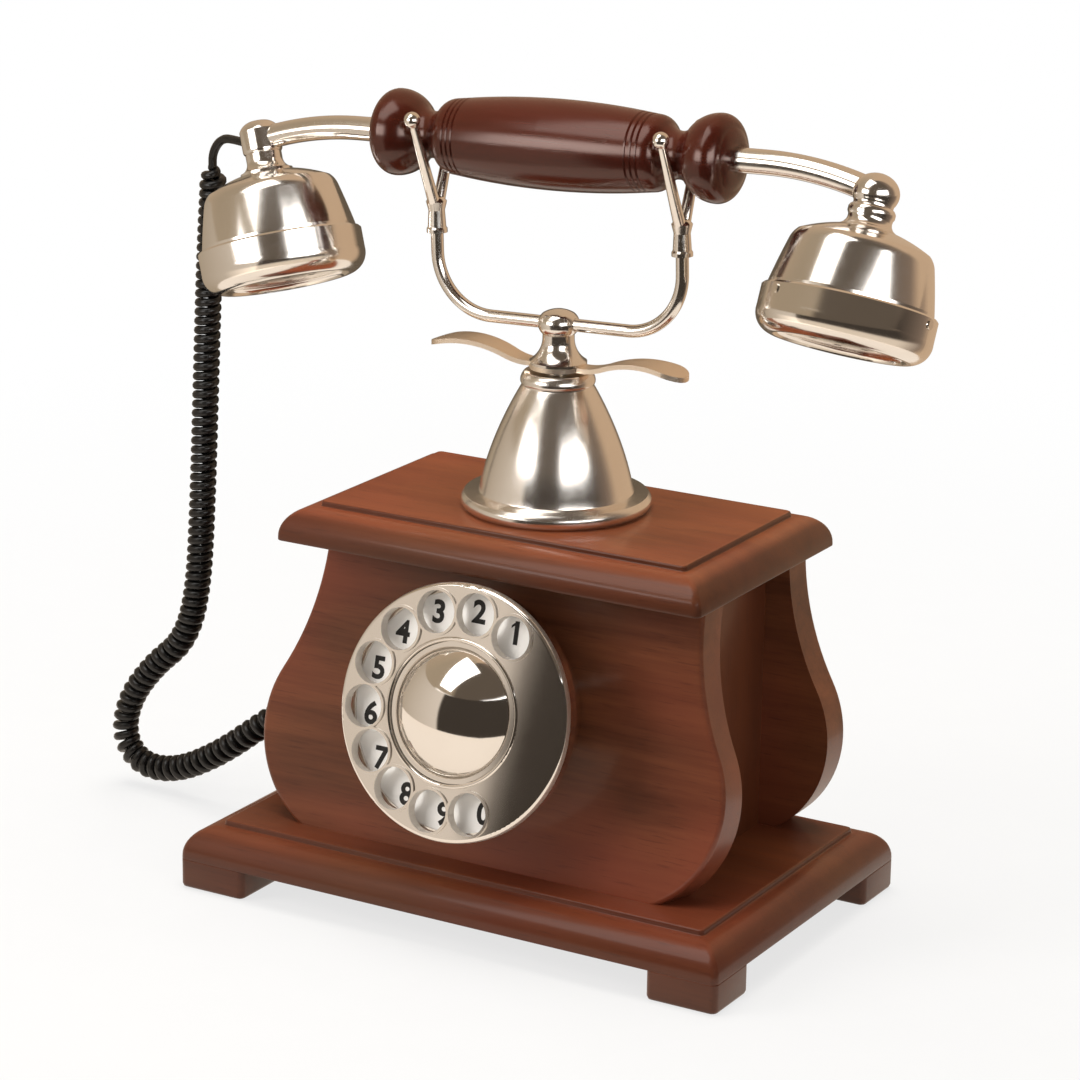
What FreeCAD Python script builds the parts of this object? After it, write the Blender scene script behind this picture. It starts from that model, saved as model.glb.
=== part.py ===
import FreeCAD, Part
import math
import os

# French-style cradle telephone, in millimetres. Z is up, the dial faces -Y, and the
# origin is on the table under the middle of the whole telephone without its cord. The
# case is made of wooden boards with moulded edges, the cradle and the handset's ends are
# plated metal.

# Fits
fit_gap = 0.05        # radial gap of a pin, screw or spigot fixed in its hole
run_gap = 0.05        # radial gap of a shaft that slides or turns in its bore
seat_gap = 0.3        # between pieces that rest on each other and come apart

# Moulded boards and feet
base_field_w = 173.0  # flat field inside the moulded edge
base_field_d = 102.0
top_field_w = 130.0
top_field_d = 71.0
board_t = 12.0
quirk_w = 1.0         # small square step above the round moulding
quirk_h = 1.8
ovolo_r = 9.2         # quarter-round moulding
foot_w = 24.0
foot_d = 21.5
foot_h = 9.5

# Panels between the boards
case_h = 91.7         # from the base board's top to the top board's underside
panel_t = 12.5
panel_slope = 13.9    # the front panel leans back by this many degrees
panel_edge_r = 1.5
front_foot_y = -40.9  # front panel's face where it stands on the base
rear_back_y = 50.0    # rear panel's outer face
pear_r = 36.0         # round lower part of the pear outline
pear_x = 47.0
pear_v = 31.0
pear_top_x = 67.5     # half width at the top
side_x = 59.5         # outer face of the flat side panels
side_t = 8.0
screw_r = 1.9
screw_head_r = 3.7
screw_len = 30.0
base_screw_x = 45.0

# Column and plunger
column_y = 8.2        # the column and the top board stand this far behind the base's middle
flange_r = 30.0
flange_rim = 4.8      # height of the flange's rolled rim
column_h = 43.6
cone_low_r = 24.2
cone_top_r = 11.4
cone_belly = 0.7      # the cone's side is a little full
collar_r = 11.9
collar_h = 4.6
cone_wall = 1.6
column_floor = 2.0
plunger_r = 4.0
bush_r = 6.0
bush_flange_r = 9.0
bush_flange_t = 2.0
bush_below = 6.0      # bush below the top board, for its nut
nut_af = 16.0
nut_t = 4.0
spring_wire_r = 0.7
spring_coil_r = 6.0
spring_turns = 4
spring_len = 20.0
stop_collar_r = 7.6
stop_collar_t = 2.0
clip_r = 6.4
clip_t = 1.2
plunger_tail = 4.0    # plunger below its clip
rise = 5.0            # travel of the cradle when the handset is lifted

# Cradle
leaf_gap = 1.0        # leaf above the column while the handset is down
leaf_t = 1.5
leaf_reach = 45.2
leaf_root_gap = 0.5   # the strip bends up this far outside the hub's foot
leaf_root_r = 22.0
leaf_bend = 22.0
leaf_root_w = 6.5
leaf_tip_w = 12.0
hub_foot_r = 9.0
hub_neck_r = 5.0
hub_h = 12.5          # from the leaf to the middle of the ball
hub_ball_r = 6.5
hub_ball_half = 4.6   # the ball is turned a little flat
stud_r = 3.0
stud_len = 6.0
rod_r = 2.0
rod_bend_r = 19.0
rod_socket = 4.0      # rod inside each fork's ferrule
fork_foot = 25.0      # ferrule's foot above the rod's level stretch
ferrule_r = 2.9
ferrule_h = 11.0
prong_r = 1.9
prong_end_r = 1.4
prong_root = 1.6
prong_tip_r = 2.6
prong_above = 6.5     # prong tips above the handle's axis
cradle_tilt = 2.0     # the rod sits a little turned in the hub, right side up

# Handset
handle_rise = 55.7    # handle's axis above the rod's level stretch
handset_roll = 10.0   # the cord's weight turns the hanging cups a little forward
grip_half = 62.4
neck_in = 18.9        # middle of the groove that lies in the fork, in from the grip's end
grip_neck_r = 7.3
grip_cove = 4.2       # half width of the groove
grip_cove_r = 9.3     # radius at the groove's edges
barrel_r = 14.05
barrel_end_r = 12.4
barrel_in = 32.4      # end of the barrel, in from the grip's end
groove_count = 3
groove_pitch = 1.8
groove_depth = 0.4
barrel_fall = 0.2     # the barrel narrows by this much from line to line
knob_in = 5.9         # fullest place of the knob, in from the grip's end
knob_r = 13.6
knob_end_r = 9.6
tube_r = 3.8
tube_bore_r = 2.8
tube_in = 8.0         # tube inside the grip
tube_run = 8.9        # straight stretch outside the grip
tube_bend_r = 112.0
tube_turn = 16.0
tube_reach = 6.5      # from the end of the bend to the knuckle's middle
tube_end_gap = 2.0    # tube stops this short of the knuckle's middle
earpiece = (4.0, 12.0)    # how far a cup leans inward, and forward beyond the roll
mouthpiece = (17.0, 0.0)
knuckle_r = 6.4
knuckle_up = 5.8
knuckle_low = 4.6     # knuckle's head below its middle
knuckle_waist_r = 5.8
knuckle_foot = 11.2   # knuckle's middle to the bell's top
knuckle_foot_r = 8.4
bell_stud_r = 4.0
bell_nut_af = 13.0
bell_nut_t = 4.0
bell_wall = 1.6
bell_shoulder_r = 21.8
bell_shoulder_drop = 7.5
bell_mouth_r = 24.8
bell_skirt = 20.5     # where the bell's straight skirt starts, below its top
bell_h = 26.5
cap_r = 26.4
cap_lap = 5.0         # cap over the bell's skirt
cap_band = 7.0
cap_h = 14.1
cap_face_r = 21.4
cap_face_t = 2.0
cap_lip = 1.4         # flat rim around the dished face
cap_dish = 1.8
sound_hole_r = 1.3
sound_ring_r = 9.0
sound_holes = 6
capsule_r = 22.6
capsule_t = 9.5
cap_screw_r = 1.5
cap_screw_len = 2.6
cap_screws = 3
cap_screw_first = 240.0

# Dial, measured from the front panel's face along its normal
dial_v = 48.5         # dial's middle up the front panel
cup_back_r = 31.5
cup_lip_r = 38.4
cup_lip_t = 1.4
cup_flare_h = 16.0
cup_h = 21.2
cup_floor = 2.0
cup_ledge_r = 35.0
dial_hole_r = 13.0
plate_w = 19.1        # back of the number plate
plate_t = 1.2
plate_bore_r = 5.5
wheel_gap = 0.6       # finger wheel in front of the cup's lip
wheel_r = 39.8
wheel_t = 1.6         # sheet of the wheel
wheel_rim = 3.4       # depth of its rim
rim_t = 1.4
hole_circle_r = 31.2
hole_r = 6.6
hole_first = 56.8     # first finger hole, in degrees from the right, and the step to the next
hole_step = 25.83
hole_count = 10
hole_ring_t = 0.6     # ring around a hole, above the wheel
hole_wall = 0.8
dome_r = 20.2
dome_h = 10.4
dome_wall = 1.4
dome_flange_r = 21.6
dome_flange_t = 1.2
bead_w = 1.3          # raised bead around the dome
bead_h = 0.5
shaft_r = 3.0
shaft_collar_r = 4.5
frame_plate_r = 27.0
frame_plate_w = 10.5
frame_plate_t = 1.5
frame_boss_r = 6.0
post_r = 2.2
post_circle_r = 24.3
post_angles = (20.0, 140.0, 260.0)
dial_screw_r = 1.6
dial_screw_head_r = 2.8
dial_screw_circle_r = 21.0
dial_screw_len = 11.0
dial_screw_angles = (80.0, 170.0, 320.0)
gear_module = 1.0
gear_teeth = 36
pinion_teeth = 9
gear_w = 5.0
gear_t = 3.0
governor_angle = 215.0
governor_r = 1.5
governor_disc_r = 5.0
governor_disc_t = 1.5
return_turns = 4
return_pitch = 1.7
return_strip_t = 0.4
return_strip_w = 2.4

# Electrics
board_w = 84.0
board_d = 36.0
board_thick = 1.6
standoff_r = 3.0
standoff_h = 6.0
ringer_r = 13.0
ringer_h = 9.0
switch_w = 20.0
switch_d = 6.4
switch_h = 10.0
button_r = 1.5
button_h = 1.2
bracket_t = 1.5
bracket_w = 20.0
jack_w = 16.0
jack_h = 14.0
jack_d = 18.0
jack_flange = 3.0
jack_flange_t = 1.6
jack_mouth_w = 11.0
jack_mouth_h = 8.0
jack_mouth_d = 13.0
jack_rise = 19.0      # jack's middle above the base board

# Cord
wire_r = 1.45
coil_r = 3.2          # middle of the wire from the coil's middle line
cord_curls = 72
coil_ramp = 4         # quarter turns in which an end opens out to the full coil
boot_r = 2.0
boot_len = 2.2
lead_drop = 2.6       # below the knuckle's middle
lead_run = 8.6
lead_bend_r = 6.5
lead_yaw = 20.0       # the lead leaves the knuckle outward and a little back
cord_places = (       # places on the coil's middle line between the lead and the case
    (-137.0, 17.2, 196.0),
    (-138.6, 17.8, 176.0),
    (-138.9, 16.5, 150.0),
    (-138.3, 12.5, 103.0),
    (-139.0, 10.2, 72.0),
    (-144.2, 9.3, 54.5),
    (-156.5, 8.8, 44.0),
    (-167.0, 8.5, 30.0),
    (-169.6, 8.3, 16.0),
    (-162.0, 8.0, 7.2),
    (-147.0, 7.5, 8.0),
    (-128.0, 6.3, 18.3),
    (-109.0, 5.0, 33.0),
    (-91.0, 3.7, 46.0))
grommet_y = 3.0
grommet_z = 51.0
grommet_r = 5.5
grommet_t = 2.0
grommet_neck_r = 4.0

# Place
case_x = -3.3         # case's middle from the origin, as the tilted handset hangs off to the right

# Levels and places that follow from the sizes above
X = FreeCAD.Vector(1, 0, 0)
Y = FreeCAD.Vector(0, 1, 0)
Z = FreeCAD.Vector(0, 0, 1)
origin = FreeCAD.Vector(0, 0, 0)
edge_w = quirk_w + ovolo_r
base_top = foot_h + board_t
top_under = base_top + case_h
top_z = top_under + board_t
column_top = top_z + column_h
leaf_z = column_top + leaf_gap
leaf_root_x = hub_foot_r + leaf_root_gap
hub_foot_z = leaf_z + leaf_t
rod_z = hub_foot_z + hub_h
fork_z = rod_z + fork_foot
handle_z = rod_z + handle_rise
slope = math.radians(panel_slope)
panel_span = panel_t / math.cos(slope)
bush_top = top_z + column_floor + bush_flange_t
bush_foot = top_under - bush_below
collar_z = bush_top + spring_len
clip_z = bush_foot - rise - seat_gap - clip_t
plunger_foot = clip_z - plunger_tail
bend = math.radians(tube_turn)
grip_neck_x = grip_half - neck_in
barrel_end_x = grip_half - barrel_in
knob_x = grip_half - knob_in
tube_start = grip_half + tube_run
knuckle_x = tube_start + tube_bend_r * math.sin(bend) + tube_reach * math.cos(bend)
knuckle_z = handle_z - tube_bend_r * (1 - math.cos(bend)) - tube_reach * math.sin(bend)
wheel_w = cup_h + wheel_gap
dial_front = wheel_w + wheel_rim
dome_seat = wheel_w + wheel_t


def outline(start, steps, plane):
    """Closed face: a step is the next corner, or the middle and the end of an arc."""
    def at(p):
        if plane == "xz":
            return FreeCAD.Vector(p[0], 0, p[1])
        if plane == "yz":
            return FreeCAD.Vector(0, p[0], p[1])
        return FreeCAD.Vector(p[0], p[1], 0)
    edges = []
    here = start
    for step in list(steps) + [start]:
        arc = isinstance(step[0], tuple)
        end = step[1] if arc else step
        if arc:
            edges.append(Part.Arc(at(here), at(step[0]), at(end)).toShape())
        elif at(here).distanceToPoint(at(end)) > 1e-6:
            edges.append(Part.makeLine(at(here), at(end)))
        here = end
    return Part.Face(Part.Wire(edges))


def turned(start, steps):
    """Solid of revolution about Z from an outline of (radius, height)."""
    return outline(start, steps, "xz").revolve(origin, Z, 360)


def crown(radius, rise, top):
    """Last step of a turned outline: a round cap that starts at a radius and closes on the axis."""
    ball = (radius ** 2 + rise ** 2) / (2 * rise)
    half = math.asin(radius / ball) / 2
    return (ball * math.sin(half), top - ball * (1 - math.cos(half))), (0, top)


def pipe(edges, radius):
    """Round bar along a path of straight runs and tangent arcs."""
    path = Part.Wire(edges)
    first = edges[0]
    start = first.valueAt(first.FirstParameter)
    along = first.tangentAt(first.FirstParameter)
    ring = Part.Wire([Part.makeCircle(radius, start, along)])
    return path.makePipeShell([ring], True, False)


def box(w, d, h, x, y, z):
    """Block centred on x and y, standing on z."""
    return Part.makeBox(w, d, h, FreeCAD.Vector(x - w / 2, y - d / 2, z))


def rod(radius, length, x, y, z):
    return Part.makeCylinder(radius, length, FreeCAD.Vector(x, y, z))


def polar(radius, degrees):
    angle = math.radians(degrees)
    return radius * math.cos(angle), radius * math.sin(angle)


def moved(shape, x, y, z):
    shape = shape.copy()
    shape.translate(FreeCAD.Vector(x, y, z))
    return shape


def mirrored(shape):
    return shape.mirror(origin, X)


def hexagon(across_flats, height, z):
    corner = across_flats / math.sqrt(3)
    corners = [polar(corner, 60 * i) for i in range(6)]
    face = outline(corners[0], corners[1:], "xy")
    return moved(face.extrude(Z * height), 0, 0, z)


# Wooden case

def moulded_board(field_w, field_d, z):
    """Board whose four edges carry a small step and a quarter-round, mitred at the corners."""
    flat = board_t - quirk_h - ovolo_r
    def section(field, plane):
        half = field / 2
        step_z = z + board_t - quirk_h
        curve = ovolo_r * math.sqrt(0.5)
        curve_z = z + flat + curve
        edge = half + quirk_w
        return outline((-edge - ovolo_r, z), [
            (-edge - ovolo_r, z + flat),
            ((-edge - curve, curve_z), (-edge, step_z)),
            (-half, step_z),
            (-half, z + board_t),
            (half, z + board_t),
            (half, step_z),
            (edge, step_z),
            ((edge + curve, curve_z), (edge + ovolo_r, z + flat)),
            (edge + ovolo_r, z)], plane)
    reach = field_w + field_d
    across = moved(section(field_w, "xz").extrude(Y * 2 * reach), 0, -reach, 0)
    along = moved(section(field_d, "yz").extrude(X * 2 * reach), -reach, 0, 0)
    return across.common(along)


def base_screw_places():
    front_y = front_foot_y + panel_span / 2 + screw_len / 2 * math.tan(slope) / 2
    rear_y = rear_back_y - panel_t / 2
    return [(sx * base_screw_x, y) for sx in (-1, 1) for y in (front_y, rear_y)]


def base_screw(gap):
    sink = screw_head_r - screw_r
    return turned((0, foot_h - gap), [
        (screw_head_r + gap, foot_h - gap),
        (screw_head_r + gap, foot_h),
        (screw_r + gap, foot_h + sink),
        (screw_r + gap, foot_h + screw_len + gap),
        (0, foot_h + screw_len + gap)])


def base_screw_holes():
    return Part.Compound([moved(base_screw(fit_gap), x, y, 0) for x, y in base_screw_places()])


def base_board():
    return moulded_board(base_field_w, base_field_d, foot_h).cut(base_screw_holes())


def feet():
    x = base_field_w / 2 + edge_w - foot_w / 2
    y = base_field_d / 2 + edge_w - foot_d / 2
    blocks = [box(foot_w, foot_d, foot_h, sx * x, sy * y, 0) for sx in (-1, 1) for sy in (-1, 1)]
    return Part.Compound(blocks)


def bush_hole(z, height):
    return rod(bush_r + fit_gap, height, 0, column_y, z)


def top_board():
    board = moved(moulded_board(top_field_w, top_field_d, top_under), 0, column_y, 0)
    return board.cut(bush_hole(top_under, board_t))


def pear_half_width(v):
    return pear_x + math.sqrt(pear_r ** 2 - (v - pear_v) ** 2)


def pear_panel(height):
    """Flat panel lying on XY: round below, drawn in by a hollow curve towards the top."""
    dx = pear_top_x - pear_x
    dv = case_h - pear_v
    hollow_r = (dx ** 2 + dv ** 2 - pear_r ** 2) / (2 * (pear_r - dx))
    lean = math.atan2(dv, dx + hollow_r)
    meet = (pear_x + pear_r * math.cos(lean), pear_v + pear_r * math.sin(lean))
    widest = (pear_x + pear_r, pear_v)
    half_lean = math.pi + lean / 2
    hollow_x = pear_top_x + hollow_r * (1 + math.cos(half_lean))
    hollow = (hollow_x, case_h + hollow_r * math.sin(half_lean))
    shoulder = (pear_top_x, case_h)
    foot = (pear_half_width(0), 0)
    right = [(widest, meet), (hollow, shoulder)]
    left = [((-hollow[0], hollow[1]), (-meet[0], meet[1])), ((-widest[0], widest[1]), (-foot[0], 0))]
    top = [(pear_top_x, height), (-pear_top_x, height)] if height > case_h else []
    start_left = [(-pear_top_x, case_h)]
    panel = outline(foot, right + top + start_left + left, "xy").extrude(Z * panel_t)
    rounded = []
    for edge in panel.Edges:
        middle = edge.CenterOfMass
        if middle.z > panel_t - 1e-3 and 1e-3 < middle.y < height - 1e-3:
            rounded.append(edge)
    return panel.makeFillet(panel_edge_r, rounded)


def on_dial(shape):
    """Stand a shape built along Z on the front panel's face, at the dial's middle."""
    shape = shape.copy()
    shape.rotate(origin, X, 90 - panel_slope)
    y = front_foot_y + dial_v * math.sin(slope)
    shape.translate(FreeCAD.Vector(0, y, base_top + dial_v * math.cos(slope)))
    return shape


def front_panel():
    height = case_h / math.cos(slope) + panel_t * math.tan(slope)
    panel = moved(pear_panel(height), 0, 0, -panel_t)
    panel.rotate(origin, X, 90 - panel_slope)
    panel.translate(FreeCAD.Vector(0, front_foot_y, base_top))
    depth = 4 * height
    panel = panel.common(box(depth, depth, case_h, 0, 0, base_top))
    hole = moved(rod(dial_hole_r, panel_t * 2, 0, 0, 0), 0, 0, -panel_t * 1.5)
    return panel.cut(on_dial(hole)).cut(dial_screw_holes()).cut(base_screw_holes())


def rear_panel():
    panel = pear_panel(case_h)
    panel.rotate(origin, X, 90)
    panel.rotate(origin, Z, 180)
    panel.translate(FreeCAD.Vector(0, rear_back_y - panel_t, base_top))
    hole_w = jack_w + 2 * fit_gap
    hole_h = jack_h + 2 * fit_gap
    jack_hole = box(hole_w, 4 * panel_t, hole_h, 0, rear_back_y, jack_z() - fit_gap)
    return panel.cut(jack_hole).cut(base_screw_holes())


def side_panel():
    """Right side panel, cut to the slope of the front panel's back."""
    front = front_foot_y + panel_span
    rear = rear_back_y - panel_t
    lean = case_h * math.tan(slope)
    corners = [(rear, base_top), (rear, top_under), (front + lean, top_under)]
    board = outline((front, base_top), corners, "yz")
    return moved(board.extrude(X * side_t), side_x - side_t, 0, 0)


def left_side_panel():
    start = FreeCAD.Vector(-side_x - side_t, grommet_y, grommet_z)
    neck = Part.makeCylinder(grommet_neck_r + fit_gap, 3 * side_t, start, X)
    return mirrored(side_panel()).cut(neck)


def base_screws():
    return Part.Compound([moved(base_screw(0), x, y, 0) for x, y in base_screw_places()])


# Column, plunger and hook switch

def column():
    wall = cone_wall
    neck_z = column_h - collar_h
    inner_top = column_h - 3.0
    low_z = 6.0
    cone_mid_r = (cone_low_r + cone_top_r) / 2 + cone_belly
    shell = turned((bush_r + fit_gap, 0), [
        (flange_r - 1.2, 0),
        ((flange_r, flange_rim / 2), (flange_r - 1.2, flange_rim)),
        ((flange_r - 2.2, flange_rim - 0.3), (flange_r - 2.9, flange_rim - 1.0)),
        ((flange_r - 3.8, flange_rim - 1.7), (cone_low_r + 0.9, flange_rim - 1.8)),
        ((cone_low_r + 0.6, flange_rim), (cone_low_r, low_z)),
        ((cone_mid_r, (low_z + neck_z) / 2), (cone_top_r, neck_z)),
        ((collar_r + 0.2, neck_z + 1.2), (collar_r, neck_z + 2.2)),
        (collar_r - 0.4, column_h - 0.8),
        (collar_r - 1.4, column_h),
        (plunger_r + run_gap, column_h),
        (plunger_r + run_gap, inner_top),
        (cone_top_r - wall, inner_top),
        (cone_low_r - wall, low_z),
        (cone_low_r - wall, column_floor),
        (bush_r + fit_gap, column_floor)])
    return moved(shell, 0, column_y, top_z)


def guide_bush():
    bore = plunger_r + run_gap
    shape = turned((bore, bush_foot), [
        (bush_r, bush_foot),
        (bush_r, top_z + column_floor),
        (bush_flange_r, top_z + column_floor),
        (bush_flange_r, bush_top),
        (bore, bush_top)])
    return moved(shape, 0, column_y, 0)


def bush_nut():
    nut = hexagon(nut_af, nut_t, top_under - nut_t)
    return moved(nut.cut(rod(bush_r + fit_gap, board_t, 0, 0, top_under - board_t)), 0, column_y, 0)


def plunger():
    groove = clip_r / 2
    shape = turned((0, plunger_foot), [
        (plunger_r, plunger_foot),
        (plunger_r, clip_z),
        (groove, clip_z),
        (groove, clip_z + clip_t),
        (plunger_r, clip_z + clip_t),
        (plunger_r, collar_z),
        (stop_collar_r, collar_z),
        (stop_collar_r, collar_z + stop_collar_t),
        (plunger_r, collar_z + stop_collar_t),
        (plunger_r, leaf_z),
        (stud_r, leaf_z),
        (stud_r, hub_foot_z + stud_len),
        (0, hub_foot_z + stud_len)])
    return moved(shape, 0, column_y, 0)


def plunger_clip():
    """Open retaining ring that stops the plunger under the bush."""
    ring = rod(clip_r, clip_t, 0, 0, clip_z).cut(rod(clip_r / 2 + fit_gap, clip_t, 0, 0, clip_z))
    mouth = box(clip_r * 0.8, clip_r * 2, clip_t, 0, -clip_r, clip_z)
    return moved(ring.cut(mouth), 0, column_y, 0)


def plunger_spring():
    low = FreeCAD.Vector(0, column_y, bush_top + spring_wire_r + fit_gap)
    high = FreeCAD.Vector(0, column_y, collar_z - spring_wire_r - fit_gap)
    line = Part.LineSegment(low, high)
    return coil(line, spring_coil_r, spring_wire_r, spring_turns, 0)


def switch_bracket():
    """Strap that hangs under the top board and holds the hook switch under the plunger."""
    shelf_z = plunger_foot - seat_gap - button_h - switch_h - bracket_t
    back_y = column_y + nut_af / math.sqrt(3) + seat_gap
    foot = 12.0
    front_y = column_y - switch_d / 2
    strap = outline((back_y, shelf_z + bracket_t), [
        (back_y, top_under),
        (back_y + foot, top_under),
        (back_y + foot, top_under - bracket_t),
        (back_y + bracket_t, top_under - bracket_t),
        (back_y + bracket_t, shelf_z),
        (front_y, shelf_z),
        (front_y, shelf_z + bracket_t)], "yz")
    return moved(strap.extrude(X * bracket_w), -bracket_w / 2, 0, 0)


def hook_switch():
    body_z = plunger_foot - seat_gap - button_h - switch_h
    body = box(switch_w, switch_d, switch_h, 0, column_y, body_z)
    return body.fuse(rod(button_r, button_h, 0, column_y, body_z + switch_h))


# Cradle

def leaf_lever():
    """Springy strip with two spoon-shaped ends, pressed down by a finger to hang up."""
    turn = math.radians(leaf_bend)
    crest_r = (leaf_reach - leaf_root_x - leaf_root_r * math.sin(turn)) / (2 * math.sin(turn))
    bend_x = leaf_root_x + leaf_root_r * math.sin(turn)
    bend_z = leaf_root_r * (1 - math.cos(turn))
    crest_x = bend_x + crest_r * math.sin(turn)
    crest_z = bend_z - crest_r * math.cos(turn)
    def root(radius, angle):
        return leaf_root_x + radius * math.sin(angle), leaf_root_r - radius * math.cos(angle)
    def crest(radius, angle):
        return crest_x + radius * math.sin(angle), crest_z + radius * math.cos(angle)
    root_in = leaf_root_r - leaf_t
    crest_out = crest_r + leaf_t
    strip = outline((0, 0), [
        (leaf_root_x, 0),
        (root(leaf_root_r, turn / 2), root(leaf_root_r, turn)),
        (crest(crest_r, 0), crest(crest_r, turn)),
        crest(crest_out, turn),
        (crest(crest_out, 0), crest(crest_out, -turn)),
        (root(root_in, turn / 2), root(root_in, 0)),
        (0, leaf_t)], "xz").extrude(Y * leaf_tip_w)
    tip = leaf_tip_w / 2
    root_half = leaf_root_w / 2
    spoon_x = leaf_reach - tip
    plan = outline((0, -root_half), [
        (leaf_root_x, -root_half),
        (spoon_x, -tip),
        ((leaf_reach, 0), (spoon_x, tip)),
        (leaf_root_x, root_half),
        (0, root_half)], "xy").extrude(Z * leaf_reach)
    leaf = moved(strip, 0, -tip, 0).common(moved(plan, 0, 0, -leaf_t))
    both = leaf.fuse(mirrored(leaf)).fuse(rod(hub_foot_r, leaf_t, 0, 0, 0))
    both = both.cut(rod(stud_r + fit_gap, leaf_t, 0, 0, 0)).removeSplitter()
    return moved(both, 0, column_y, leaf_z)


def cradle_hub():
    cheek = hub_ball_half * 0.7
    crown_h = hub_ball_half - cheek
    shape = turned((0, stud_len + fit_gap), [
        (stud_r + fit_gap, stud_len + fit_gap),
        (stud_r + fit_gap, 0),
        (hub_foot_r, 0),
        (hub_foot_r, 0.8),
        ((hub_neck_r + 0.9, hub_h / 3), (hub_neck_r, hub_h - hub_ball_half)),
        (hub_neck_r, hub_h - cheek),
        ((hub_ball_r, hub_h), (hub_neck_r, hub_h + cheek)),
        crown(hub_neck_r, crown_h, hub_h + hub_ball_half)])
    start = FreeCAD.Vector(-2 * hub_ball_r, column_y, rod_z)
    bore = Part.makeCylinder(rod_r + fit_gap, 4 * hub_ball_r, start, X)
    return moved(shape, 0, column_y, hub_foot_z).cut(cradled(bore))


def cradled(shape):
    """Turn what the hub carries about the ball's middle."""
    shape = shape.copy()
    shape.rotate(FreeCAD.Vector(0, column_y, rod_z), Y, -cradle_tilt)
    return shape


def cradle_yoke():
    """Rod bent to a wide U that carries the two forks."""
    def at(x, z):
        return FreeCAD.Vector(x, column_y, z)
    r = rod_bend_r
    x = grip_neck_x
    inner = r * (1 - math.sqrt(0.5))
    top = fork_z + rod_socket
    edges = [
        Part.makeLine(at(-x, top), at(-x, rod_z + r)),
        Part.Arc(at(-x, rod_z + r), at(-x + inner, rod_z + inner), at(-x + r, rod_z)).toShape(),
        Part.makeLine(at(-x + r, rod_z), at(x - r, rod_z)),
        Part.Arc(at(x - r, rod_z), at(x - inner, rod_z + inner), at(x, rod_z + r)).toShape(),
        Part.makeLine(at(x, rod_z + r), at(x, top))]
    return pipe(edges, rod_r)


def right_fork():
    """Ferrule with two ball-ended prongs, spread so that the handle's groove rests between them."""
    socket = rod_r + fit_gap
    ferrule = turned((0, rod_socket + fit_gap), [
        (socket, rod_socket + fit_gap),
        (socket, 0),
        (ferrule_r + 0.4, 0),
        (ferrule_r + 0.4, 1.2),
        (ferrule_r, 1.8),
        (ferrule_r - 0.3, ferrule_h - 4.0),
        (ferrule_r + 0.4, ferrule_h - 1.2),
        crown(ferrule_r + 0.4, 1.8, ferrule_h + 0.6)])
    root_z = ferrule_h - 1.0
    lift = handle_z - fork_z - root_z
    reach = grip_neck_r + seat_gap + prong_r
    lean = math.asin(reach / math.hypot(prong_root, lift)) - math.atan2(prong_root, lift)
    length = (lift + prong_above) / math.cos(lean)
    fork = ferrule
    for side in (-1, 1):
        along = FreeCAD.Vector(0, side * math.sin(lean), math.cos(lean))
        foot = FreeCAD.Vector(0, side * prong_root, root_z)
        prong = Part.makeCone(prong_r, prong_end_r, length, foot, along)
        ball = Part.makeSphere(prong_tip_r, foot + along * length)
        fork = fork.fuse(prong).fuse(ball)
    return moved(fork.removeSplitter(), grip_neck_x, column_y, fork_z)


# Handset

def rolled(shape):
    """Turn the hanging half of the handset about the handle's axis."""
    shape = shape.copy()
    shape.rotate(FreeCAD.Vector(0, column_y, handle_z), X, -handset_roll)
    return shape


def handle_grip():
    """Turned wooden grip: bellied barrel, a groove for each fork and a rounded knob at each end."""
    notch = []
    for i in range(groove_count):
        x = barrel_end_x + i * groove_pitch
        r = barrel_end_r - i * barrel_fall
        notch += [(r, x), (r - groove_depth, x + 0.4), (r - barrel_fall / 2, x + 0.8)]
    shoulder_r = barrel_end_r - groove_count * barrel_fall
    shoulder_x = barrel_end_x + groove_count * groove_pitch
    cove_x = grip_neck_x - grip_cove
    belly = barrel_r - (barrel_r - barrel_end_r) / 4
    rise_x = knob_x - grip_neck_x - grip_cove
    rise_r = knob_r - grip_cove_r
    ball_r = (rise_x ** 2 + rise_r ** 2) / (2 * rise_r)
    half_turn = math.asin(rise_x / ball_r) / 2
    ball_mid = (knob_r - ball_r * (1 - math.cos(half_turn)), knob_x - ball_r * math.sin(half_turn))
    edge_x = grip_half - 1.3
    half = turned((0, 0), [
        (barrel_r, 0),
        ((belly, barrel_end_x / 2), notch[0])] + notch[1:] + [
        (shoulder_r, shoulder_x),
        ((shoulder_r - 0.75, (shoulder_x + cove_x) / 2 + 0.3), (grip_cove_r, cove_x)),
        ((grip_neck_r, grip_neck_x), (grip_cove_r, grip_neck_x + grip_cove)),
        (ball_mid, (knob_r, knob_x)),
        ((knob_r - 1.2, knob_x + 3.1), (knob_end_r, edge_x)),
        ((knob_end_r - 2.2, grip_half - 0.35), (knob_end_r - 4.4, grip_half)),
        (tube_r + fit_gap, grip_half),
        (tube_r + fit_gap, grip_half - tube_in),
        (0, grip_half - tube_in)])
    grip = half.fuse(half.mirror(origin, Z)).removeSplitter()
    grip.rotate(origin, Y, 90)
    return moved(grip, 0, column_y, handle_z)


def tube():
    """Tube that leaves the grip level and bends down to the knuckle."""
    def at(x, z):
        return FreeCAD.Vector(x, column_y, z)
    def arc(angle):
        drop = tube_bend_r * (1 - math.cos(angle))
        return at(tube_start + tube_bend_r * math.sin(angle), handle_z - drop)
    end = arc(bend) + FreeCAD.Vector(math.cos(bend), 0, -math.sin(bend)) * (tube_reach - tube_end_gap)
    edges = [
        Part.makeLine(at(grip_half - tube_in, handle_z), arc(0)),
        Part.Arc(arc(0), arc(bend / 2), arc(bend)).toShape(),
        Part.makeLine(arc(bend), end)]
    return rolled(pipe(edges, tube_r).cut(pipe(edges, tube_bore_r)))


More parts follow.
